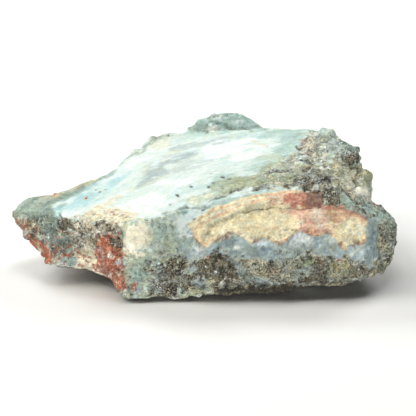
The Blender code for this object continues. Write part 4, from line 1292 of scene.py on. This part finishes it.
# %% Swell and sink
swell = np.zeros(count)
for shape, spread, height in (
        # the corner
        (oval(326, 136, 12, 9), 7.0, 1.4), (oval(309, 147, 9, 9), 5.0, 0.9),
        (line(4, (334, 138), (341, 148), (343, 160)), 2.0, -0.9), (oval(352, 159, 9, 8), 5.0, 1.3),
        (oval(344, 178, 9, 10), 6.0, -0.8), (oval(365, 176, 7, 9), 4.0, 1.3),
        (line(3.4, (357, 164), (358, 176), (354, 190)), 1.7, -1.1), (oval(362, 195, 9, 6), 4.0, 0.8),
        (oval(318, 179, 18, 9), 5.0, 1.1), (line(4, (298, 190), (320, 191.5)), 2.0, -0.5),
        (oval(332, 199, 10, 8), 5.0, 0.5), (line(3.4, (336, 206), (352, 211.5), (367, 220)), 1.7, -0.6),
        (line(4, (348, 204), (366, 211), (384, 219)), 2.5, 0.4), (oval(377, 221, 7, 4), 2.0, 0.6),
        (oval(388, 244, 8, 14), 5.0, 0.7), (line(3, (374, 226), (376, 262)), 1.5, -0.6),
        # the knob
        (oval(215, 127, 7.5, 4), 2.5, 0.8), (oval(240, 125, 9, 4), 3.0, 0.5),
        # the front
        (oval(137, 238, 15, 14), 7.0, 1.0), (line(3.4, (122, 234), (120.5, 250), (125, 268)), 1.7, -0.8),
        (line(12, (110, 242), (112, 262), (120, 288)), 6.0, 0.8), (oval(84, 240, 13, 9), 6.0, -0.7),
        (oval(64, 225, 9, 7), 4.0, 0.6), (oval(108, 229, 13, 6), 4.0, 0.5), (oval(60, 246, 12, 9), 6.0, -0.5),
        (oval(217, 268, 19, 13), 6.0, 1.1), (oval(246, 274, 9, 8), 4.0, -0.5),
        (oval(277, 268, 9, 7), 4.0, 0.6),
        (oval(320, 268, 11, 9), 5.0, -0.9), (oval(306, 262, 9, 4), 2.5, 0.7),
        (oval(341, 268, 10, 7), 4.0, 0.6),
        (oval(172, 276, 20, 14), 7.0, -0.6), (line(4, (150, 262), (166, 252), (186, 256)), 2.0, 0.5),
        (line(2.4, (226, 286), (262, 286), (300, 285), (340, 282)), 1.2, -0.6),
        (line(5, (215, 244), (240, 246), (262, 250), (300, 248), (340, 254)), 3.0, 0.5),
        # the crust
        (oval(352, 233, 10, 7), 4.0, 0.5), (oval(336, 218, 9, 7), 4.0, -0.5),
        (line(2.2, (243, 213), (258, 210), (277, 208.5), (300, 209.5), (322, 208)), 1.1, -0.25),
        (line(5, (206, 240), (214, 226), (232, 216), (254, 209)), 3.0, -0.4),
        (oval(270, 224, 24, 8, 5), 6.0, 0.4)):
    swell += height * visible * ease(shape(across_shaken, down_shaken), 0.0, spread)
for shape, size, height in ((CORNER, 4.5, 1.1), (LOW_ROCK, 4.0, 0.9), (SHELF, 3.5, 0.8), (WALL, 5.0, 0.5),
                            (FACE, 6.0, 0.5)):
    swell += height * visible * ease(shape(across_shaken, down_shaken),
                                     0.0, 5.0) * cloud(size, 3, float(next(seeds)))
for shape, spread, height in (
        # the stone's edge in the picture
        (oval(14, 214, 5, 5), 3.0, 0.75), (oval(26, 236, 6, 5), 4.0, 0.8),
        (line(3, (54, 194), (66, 191), (80, 185), (92, 180)), 5.0, 0.9),
        (oval(37, 243, 5, 4), 3.0, -0.7), (oval(48, 263, 6, 5), 3.0, 1.0), (oval(114, 163, 7, 6), 5.0, 1.6),
        (oval(132, 150, 9, 6), 4.0, 1.1), (oval(150, 137, 8, 6), 4.0, 1.3), (oval(168, 132, 16, 5), 5.0, 1.3),
        (oval(186, 128, 9, 5), 5.0, 0.7), (oval(198, 120, 9, 6), 5.0, 0.9), (oval(212, 113, 6, 4), 3.0, 0.7),
        (oval(252, 114, 10, 5), 4.0, -0.6), (oval(90, 177, 7, 3), 2.0, 0.7), (oval(357, 151, 6, 5), 3.0, 1.5),
        (oval(360, 161, 5, 3), 2.0, -0.8), (oval(378, 196, 8, 10), 4.0, -1.7),
        (oval(396, 258, 6, 8), 4.0, -0.9),
        (oval(382, 270, 6, 5), 3.0, 1.2)):
    swell += height * ease(shape(across, down), 0.0, spread)
print("the front swells and sinks from", round(float(swell.min()), 1), "to", round(float(swell.max()), 1),
      "mm")

# %% [markdown]
# ## The roughness
#
# Where the rock broke it has flat chips, grains and open pores, and where it is larimar it is nearly
# smooth. The points move along their normals by noise of several sizes, as far as the mineral there
# is rough, and by how far it stands proud.

# %% Move the points


def field(name):
    """One field's values at all the points."""
    return paint[:, FIELDS.index(name)]


FOOT = 0.6  # the relief fades out below this height, so the stone's flats stay on the table
big_chips = chips(3.4, 5.0)
small_chips = chips(1.5, 9.0)
pores = ease(-cloud(1.3, 3, 83.0), 0.1, 0.45)
grit = 0.45 * big_chips + 0.35 * small_chips + 0.25 * cloud(1.1, 3, 61.0)
move = field("rough") * (grit + 0.5 * cloud(6.5, 3, 111.0))
move -= 0.45 * field("specks") * pores
move += 0.03 * field("fibre") * streaks(1.6, 14.0, 2, 4.0)
move += field("lift")
# painted shade: how deep a point sinks, for the material to darken
sunk_shade = ease(-move, 0.3, 0.9)
move += swell
rested = ease(mm[:, 2], 0.0, FOOT)
place = place + facing * (move * rested * MM)[:, None]
place[:, 2] = np.maximum(place[:, 2], 0.0)
stone.data.vertices.foreach_set("co", place.ravel())
stone.data.shade_smooth()
print("relief from", round(float(move.min()), 2), "to", round(float(move.max()), 2), "mm")

# %% [markdown]
# ## Passing the minerals to the material
#
# The material reads the minerals from four colour attributes of the mesh: the tint with the gloss,
# the accent with its share, the marks in the rock, and the ground: how grainy, rough and veined it
# is, and where it sinks deepest, which the material paints as shade. A painted image could hold them
# too, but it would need an unwrapped mesh, and a point of the mesh is already smaller than a pixel
# of the picture.

# %% Attributes
mottle = 1.0 + field("grain") * (0.45 * cloud(1.6, 3, 7.0) + 0.25 * cloud(5.0, 2, 19.0))
warmth = field("grain") * 0.16 * cloud(3.0, 3, 77.0)
for name, turn in (("red", 1.0), ("green", 0.1), ("blue", -1.4)):
    paint[:, FIELDS.index(name)] *= mottle * (1.0 + turn * warmth)


def attribute(name, *fields):
    """Writes up to four fields to the mesh as one colour attribute."""
    layer = stone.data.attributes.new(name, "FLOAT_COLOR", "POINT")
    values = np.zeros((count, 4))
    for slot, source in enumerate(fields):
        values[:, slot] = field(source) if isinstance(source, str) else source
    layer.data.foreach_set("color", np.clip(values, 0.0, 1.0).ravel())


attribute("tint", "red", "green", "blue", "gloss")
attribute("accent", "accent red", "accent green", "accent blue", "share")
attribute("marks", "specks", "rust", "flecks", "fibre")
attribute("ground", "grain", "rough", "veins", sunk_shade)
print("attributes:", [layer.name for layer in stone.data.attributes if layer.data_type == "FLOAT_COLOR"])

# %% [markdown]
# ## Node helpers
#
# A material is a chain of nodes. These helpers add a node, set its values and join its sockets, so
# the steps below read as recipes.

# %% Helpers for nodes


class Recipe:
    """Adds nodes to a tree: each method adds one, fills its sockets and returns its result."""

    def __init__(self, tree):
        self.tree = tree

    def add(self, kind, values=None, **settings):
        node = self.tree.nodes.new(kind)
        for name, value in settings.items():
            setattr(node, name, value)
        for name, value in (values or {}).items():
            self.feed(value, node.inputs[name])
        return node

    def feed(self, value, socket):
        if isinstance(value, bpy.types.NodeSocket):
            self.tree.links.new(value, socket)
        else:
            socket.default_value = value

    def math(self, operation, *values, clamp=False):
        node = self.add("ShaderNodeMath", operation=operation, use_clamp=clamp)
        for value, socket in zip(values, node.inputs):
            self.feed(value, socket)
        return node.outputs[0]

    def vector(self, operation, *values):
        node = self.add("ShaderNodeVectorMath", operation=operation)
        for value, socket in zip(values, node.inputs):
            self.feed(value, socket)
        return node.outputs[0]

    def scaled(self, vector, scale):
        node = self.add("ShaderNodeVectorMath", operation="SCALE")
        self.feed(vector, node.inputs[0])
        self.feed(scale, node.inputs["Scale"])
        return node.outputs[0]

    def blend(self, share, first, second):
        node = self.add("ShaderNodeMix", data_type="RGBA")
        colours = node.inputs[6:8]
        for value, socket in zip((share, first, second), (node.inputs[0], *colours)):
            self.feed(value, socket)
        return node.outputs[2]

    def step(self, value, start, end):
        node = self.add("ShaderNodeMapRange", interpolation_type="SMOOTHSTEP")
        for item, socket in zip((value, start, end), node.inputs):
            self.feed(item, socket)
        return node.outputs[0]


def shade(*channels):
    """A screen colour as a node's colour."""
    return tuple(linear(channel) for channel in channels) + (1.0,)


def new_group(name, inputs, outputs):
    """An empty node group with named sockets, its recipe and its input sockets."""
    tree = bpy.data.node_groups.new(name, "ShaderNodeTree")
    for label, kind, start in inputs:
        socket = tree.interface.new_socket(label, in_out="INPUT", socket_type="NodeSocket" + kind)
        if start is not None:
            socket.default_value = start
    for label, kind in outputs:
        tree.interface.new_socket(label, in_out="OUTPUT", socket_type="NodeSocket" + kind)
    recipe = Recipe(tree)
    return tree, recipe, recipe.add("NodeGroupInput").outputs


# %% [markdown]
# ## Specks, as a group
#
# Dark specks, rust specks and white flecks are the same effect at different sizes: noise, cut off
# where it is high. The more the rock should hold, the lower the cut. One node group makes all three.

# %% Speck group
specks, inner, given = new_group("specks", (("Place", "Vector", None), ("Fineness", "Float", 1.0),
                                            ("Cover", "Float", 0.5), ("Shift", "Float", 0.0),
                                            ("Twist", "Float", 0.5)), (("Mask", "Float"),))
aside = inner.add("ShaderNodeCombineXYZ", {"X": given["Shift"], "Z": given["Shift"]}).outputs[0]
moved = inner.vector("ADD", given["Place"], aside)
fuzz = inner.add("ShaderNodeTexNoise", {"Vector": moved, "Scale": given["Fineness"], "Detail": 2.5,
                                        "Roughness": 0.6, "Distortion": given["Twist"]}).outputs[0]
cut = inner.math("MULTIPLY_ADD", given["Cover"], -0.32, 0.77)
inner.add("NodeGroupOutput", {"Mask": inner.step(fuzz, cut, inner.math("ADD", cut, 0.04))})
print("the speck group has", len(specks.nodes), "nodes")

# %% [markdown]
# ## Veins, as a group
#
# The dark mineral also grew in thin winding branches. They lie where noise crosses its middle value,
# so the band round that value is the vein. A wider band gives thicker veins.

# %% Vein group
veins, inner, given = new_group("veins", (("Place", "Vector", None), ("Fineness", "Float", 1.0),
                                          ("Width", "Float", 0.5)), (("Mask", "Float"),))
fuzz = inner.add("ShaderNodeTexNoise", {"Vector": given["Place"], "Scale": given["Fineness"], "Detail": 2.0,
                                        "Roughness": 0.55, "Distortion": 1.4}).outputs[0]
off = inner.math("ABSOLUTE", inner.math("SUBTRACT", fuzz, 0.5))
width = inner.math("MULTIPLY", given["Width"], 0.075)
inner.add("NodeGroupOutput", {"Mask": inner.step(off, width, inner.math("MULTIPLY", width, 0.45))})
print("the vein group has", len(veins.nodes), "nodes")

# %% [markdown]
# ## Crystal grains, as a group
#
# Rock is packed grains, each a little lighter, darker, warmer or colder than the next. Cells of two
# sizes with a random tone in each look like that.

# %% Grain group
grains, inner, given = new_group("grains", (("Place", "Vector", None), ("Fineness", "Float", 1.0)),
                                 (("Tone", "Float"), ("Warmth", "Float"), ("Relief", "Float")))
tones, warmths, domes = [], [], []
for scale in (1.0, 2.3):
    cells = inner.add("ShaderNodeTexVoronoi", {"Vector": given["Place"],
                                               "Scale": inner.math("MULTIPLY", given["Fineness"], scale)})
    random = inner.add("ShaderNodeSeparateColor", {"Color": cells.outputs["Color"]}).outputs
    tones.append(random["Red"])
    warmths.append(random["Green"])
    domes.append(cells.outputs["Distance"])
tone = inner.math("ADD", inner.math("MULTIPLY", tones[0], 0.55), inner.math("MULTIPLY", tones[1], 0.45))
warm = inner.math("ADD", inner.math("MULTIPLY", warmths[0], 0.55), inner.math("MULTIPLY", warmths[1], 0.45))
dome = inner.math("ADD", inner.math("MULTIPLY", domes[0], -0.7), inner.math("MULTIPLY", domes[1], -0.3))
inner.add("NodeGroupOutput", {"Tone": inner.math("SUBTRACT", tone, 0.5),
                              "Warmth": inner.math("SUBTRACT", warm, 0.5), "Relief": dome})
print("the grain group has", len(grains.nodes), "nodes")

# %% [markdown]
# ## The stone's material
#
# It starts from the tint of each point, with its accent mixed in. Grains darken, lighten and warm it,
# fibres streak the plate, then rust specks, dark specks and veins, and white flecks go on top. The
# same masks raise a fine bump.

# %% Stone material
material = bpy.data.materials.new("larimar and host rock")
material.use_nodes = True
material.node_tree.nodes.clear()
rock = Recipe(material.node_tree)
spot = rock.scaled(rock.add("ShaderNodeTexCoord").outputs["Object"], 1.0 / MM)


def read(name):
    """An attribute's colour, its three parts and its fourth value."""
    node = rock.add("ShaderNodeAttribute", attribute_name=name)
    parts = rock.add("ShaderNodeSeparateColor", {"Color": node.outputs["Color"]})
    return node.outputs["Color"], parts.outputs, node.outputs["Alpha"]


tint, _, gloss = read("tint")
accent, _, share = read("accent")
_, marks, fibre = read("marks")
_, ground, sunk_shade_share = read("ground")


def use(group, output, **values):
    """One output of a node group, with its sockets filled."""
    return rock.add("ShaderNodeGroup", values, node_tree=group).outputs[output]


def fuzz_of(vector, scale, detail, distortion=0.0):
    """Noise about 0, from about -1 to 1."""
    node = rock.add("ShaderNodeTexNoise", {"Vector": vector, "Scale": scale, "Detail": detail,
                                           "Roughness": 0.6, "Distortion": distortion})
    return rock.math("MULTIPLY_ADD", node.outputs[0], 4.0, -2.0)


# %% [markdown]
# ### Grains and accents
#
# The place is bent a little before it is used, so that cells and veins aren't straight. The clumps
# gather each kind of speck in some spots and leave others bare.

# %% Grains
bend = rock.add("ShaderNodeTexNoise", {"Vector": spot, "Scale": 1.1, "Detail": 2.0}).outputs["Color"]
bent = rock.vector("ADD", spot, rock.scaled(bend, 0.9))
clumps = rock.math("MULTIPLY", fuzz_of(spot, 0.35, 2.0), 0.4)


def gathered(amount):
    """An amount that is higher in the clumps and lower between them."""
    return rock.math("MULTIPLY_ADD", clumps, amount, amount)


second = use(specks, "Mask", Place=bent, Fineness=1.0, Cover=gathered(share), Shift=71.0, Twist=1.2)
colour = rock.blend(second, tint, accent)
fine = fuzz_of(spot, 2.8, 2.0)
grain_node = rock.add("ShaderNodeGroup", {"Place": bent, "Fineness": 1.0}, node_tree=grains)
tone = rock.math("MULTIPLY", grain_node.outputs["Tone"], 1.4)
tone = rock.math("ADD", tone, rock.math("MULTIPLY", fine, 0.28))
tone = rock.math("MAXIMUM", rock.math("MULTIPLY_ADD", tone, ground["Red"], 1.0), 0.2)
warm = rock.math("MULTIPLY", grain_node.outputs["Warmth"], ground["Red"])
shift = rock.add("ShaderNodeCombineXYZ", {"X": rock.math("MULTIPLY_ADD", warm, 0.25, 1.0), "Y": 1.0,
                                          "Z": rock.math("MULTIPLY_ADD", warm, -0.4, 1.0)}).outputs[0]
colour = rock.vector("MULTIPLY", rock.scaled(colour, tone), shift)

# %% [markdown]
# ### Fibres
#
# The fibres lie on arcs round one spot: the distance from it changes fast, the angle slowly. Noise in
# those two is long thin streaks.

# %% Fibres
out = rock.vector("SUBTRACT", spot, (FAN[0], FAN[1], 0.0))
parts = rock.add("ShaderNodeSeparateXYZ", {"Vector": out}).outputs
flat = rock.add("ShaderNodeCombineXYZ", {"X": parts[0], "Y": parts[1]}).outputs[0]
reach = rock.add("ShaderNodeVectorMath", operation="LENGTH")
rock.feed(flat, reach.inputs[0])
along = rock.math("MULTIPLY", rock.math("ARCTAN2", parts[1], parts[0]), 5.0)
arc = rock.add("ShaderNodeCombineXYZ", {"X": reach.outputs["Value"], "Y": along,
                                        "Z": rock.math("MULTIPLY", parts[2], 0.8)}).outputs[0]
streak = fuzz_of(arc, 0.9, 4.0, 0.6)
thin_streak = fuzz_of(arc, 2.4, 3.0, 0.4)
cream_streak = fuzz_of(rock.vector("ADD", arc, (17.0, 5.0, 0.0)), 0.5, 4.0, 0.5)
FIBRE_WHITE = shade(246, 249, 244)
FIBRE_CREAM = shade(228, 222, 192)
light = rock.math("MULTIPLY", rock.step(streak, 0.05, 0.8), rock.math("MULTIPLY", fibre, 0.22))
colour = rock.blend(light, colour, FIBRE_WHITE)
creamy = rock.math("MULTIPLY", rock.step(cream_streak, 0.15, 0.8), rock.math("MULTIPLY", fibre, 0.16))
colour = rock.blend(creamy, colour, FIBRE_CREAM)
dim = rock.math("MULTIPLY", rock.step(streak, -0.1, -0.9), 0.1)
dim = rock.math("ADD", dim, rock.math("MULTIPLY", rock.step(thin_streak, -0.1, -0.9), 0.07))
colour = rock.scaled(colour, rock.math("MULTIPLY_ADD", rock.math("MULTIPLY", dim, fibre), -1.0, 1.0))

# %% [markdown]
# ### Specks, veins and relief
#
# Rust goes on first, then the dark mineral, then white flecks, and the points that sink deepest, the pores
# among them, get painted shade.

# %% Specks and relief
RUST_RED = shade(184, 96, 68)
DARK_MINERAL = shade(44, 40, 33)
FLECK_WHITE = shade(238, 240, 226)
PORE_SHADE = shade(40, 36, 28)
BUMP_HEIGHT = 0.5 * MM
rusty = use(specks, "Mask", Place=bent, Fineness=1.2, Cover=gathered(marks["Green"]), Shift=21.0, Twist=1.6)
colour = rock.blend(rock.math("MULTIPLY", rusty, 0.9), colour, RUST_RED)
dark = use(specks, "Mask", Place=bent, Fineness=0.75, Cover=gathered(marks["Red"]), Shift=3.0, Twist=1.6)
dark_fine = use(specks, "Mask", Place=spot, Fineness=1.5, Cover=gathered(marks["Red"]), Shift=37.0, Twist=0.9)
branch = use(veins, "Mask", Place=bent, Fineness=0.6, Width=ground["Blue"])
dark = rock.math("MAXIMUM", rock.math("MAXIMUM", dark, dark_fine), branch)
colour = rock.blend(rock.math("MULTIPLY", dark, 0.88), colour, DARK_MINERAL)
white = use(specks, "Mask", Place=spot, Fineness=1.35, Cover=marks["Blue"], Shift=51.0, Twist=0.8)
colour = rock.blend(rock.math("MULTIPLY", white, 0.9), colour, FLECK_WHITE)
# painted shade in the deepest sunk points
colour = rock.blend(rock.math("MULTIPLY", sunk_shade_share, 0.75), colour, PORE_SHADE)

height = rock.math("MULTIPLY_ADD", dark, -0.7, rock.math("MULTIPLY", fine, 0.3))
height = rock.math("ADD", height, rock.math("MULTIPLY", grain_node.outputs["Relief"], 0.8))
height = rock.math("MULTIPLY", height, ground["Green"])
height = rock.math("ADD", height, rock.math("MULTIPLY", rock.math("MULTIPLY", streak, fibre), 0.03))
bump = rock.add("ShaderNodeBump", {"Height": height, "Distance": BUMP_HEIGHT, "Strength": 0.75})
dull = rock.math("MULTIPLY_ADD", gloss, -0.35, 0.8)
surface = rock.add("ShaderNodeBsdfPrincipled", {"Base Color": colour, "Roughness": dull,
                                                "Specular IOR Level": 0.45, "Normal": bump.outputs[0]})
rock.add("ShaderNodeOutputMaterial", {"Surface": surface.outputs[0]})
stone.data.materials.clear()
stone.data.materials.append(material)
print("the stone's material has", len(material.node_tree.nodes), "nodes")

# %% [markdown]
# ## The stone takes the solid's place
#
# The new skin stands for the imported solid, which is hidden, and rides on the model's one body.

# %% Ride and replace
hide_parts(NODE)
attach(stone, "root")

# %% [markdown]
# ## Table and light
#
# The stone lies on white paper, where a studio photographs small things. Two windows shine from
# behind, a wide light hangs above, a slightly warm lamp stands high at the left, and a long low
# light in front lifts the broken face. A sky image could light it all at once. Area lights are
# chosen, because each one moves the shadow and the shine in its own way and is easy to set.

# %% Table and light
floor_mesh = bmesh.new()
bmesh.ops.create_grid(floor_mesh, x_segments=1, y_segments=1, size=3.0)
floor = bpy.data.objects.new("paper", bpy.data.meshes.new("paper"))
floor_mesh.to_mesh(floor.data)
floor_mesh.free()
bpy.context.scene.collection.objects.link(floor)
paper = bpy.data.materials.new("white paper")
paper.use_nodes = True
matt = paper.node_tree.nodes["Principled BSDF"].inputs
matt["Base Color"].default_value = shade(247, 246, 243)
matt["Roughness"].default_value = 0.9
floor.data.materials.append(paper)

world = bpy.data.worlds.new("studio")
bpy.context.scene.world = world
world.use_nodes = True
air = world.node_tree.nodes["Background"].inputs
air["Color"].default_value = (1.0, 1.0, 1.0, 1.0)
air["Strength"].default_value = 0.015
LIT = Vector((0.0, 0.0, 0.01))  # the lights look at this place, in metres


def soft_light(name, source, width, length, watts, warmth=(1.0, 1.0, 1.0)):
    """Adds a rectangular light that looks at the stone."""
    lamp = bpy.data.objects.new(name, bpy.data.lights.new(name, "AREA"))
    bpy.context.scene.collection.objects.link(lamp)
    lamp.data.shape = "RECTANGLE"
    lamp.data.size = width
    lamp.data.size_y = length
    lamp.data.energy = watts
    lamp.data.color = warmth
    lamp.location = source
    lamp.rotation_mode = "QUATERNION"
    lamp.rotation_quaternion = (LIT - Vector(source)).to_track_quat("-Z", "Y")


soft_light("window", (-0.45, 0.55, 0.58), 0.35, 0.35, 4.2, (0.96, 0.99, 1.0))
soft_light("far window", (0.5, 0.5, 0.58), 0.35, 0.35, 3.2, (0.96, 0.99, 1.0))
soft_light("top", (0.0, 0.1, 0.95), 0.6, 0.4, 3.2)
soft_light("left", (-0.75, -0.05, 0.7), 0.5, 0.8, 6.0, (1.0, 0.98, 0.94))
soft_light("front card", (0.1, -1.5, 0.08), 2.2, 0.14, 13.0)
bpy.context.scene.view_settings.view_transform = "Standard"
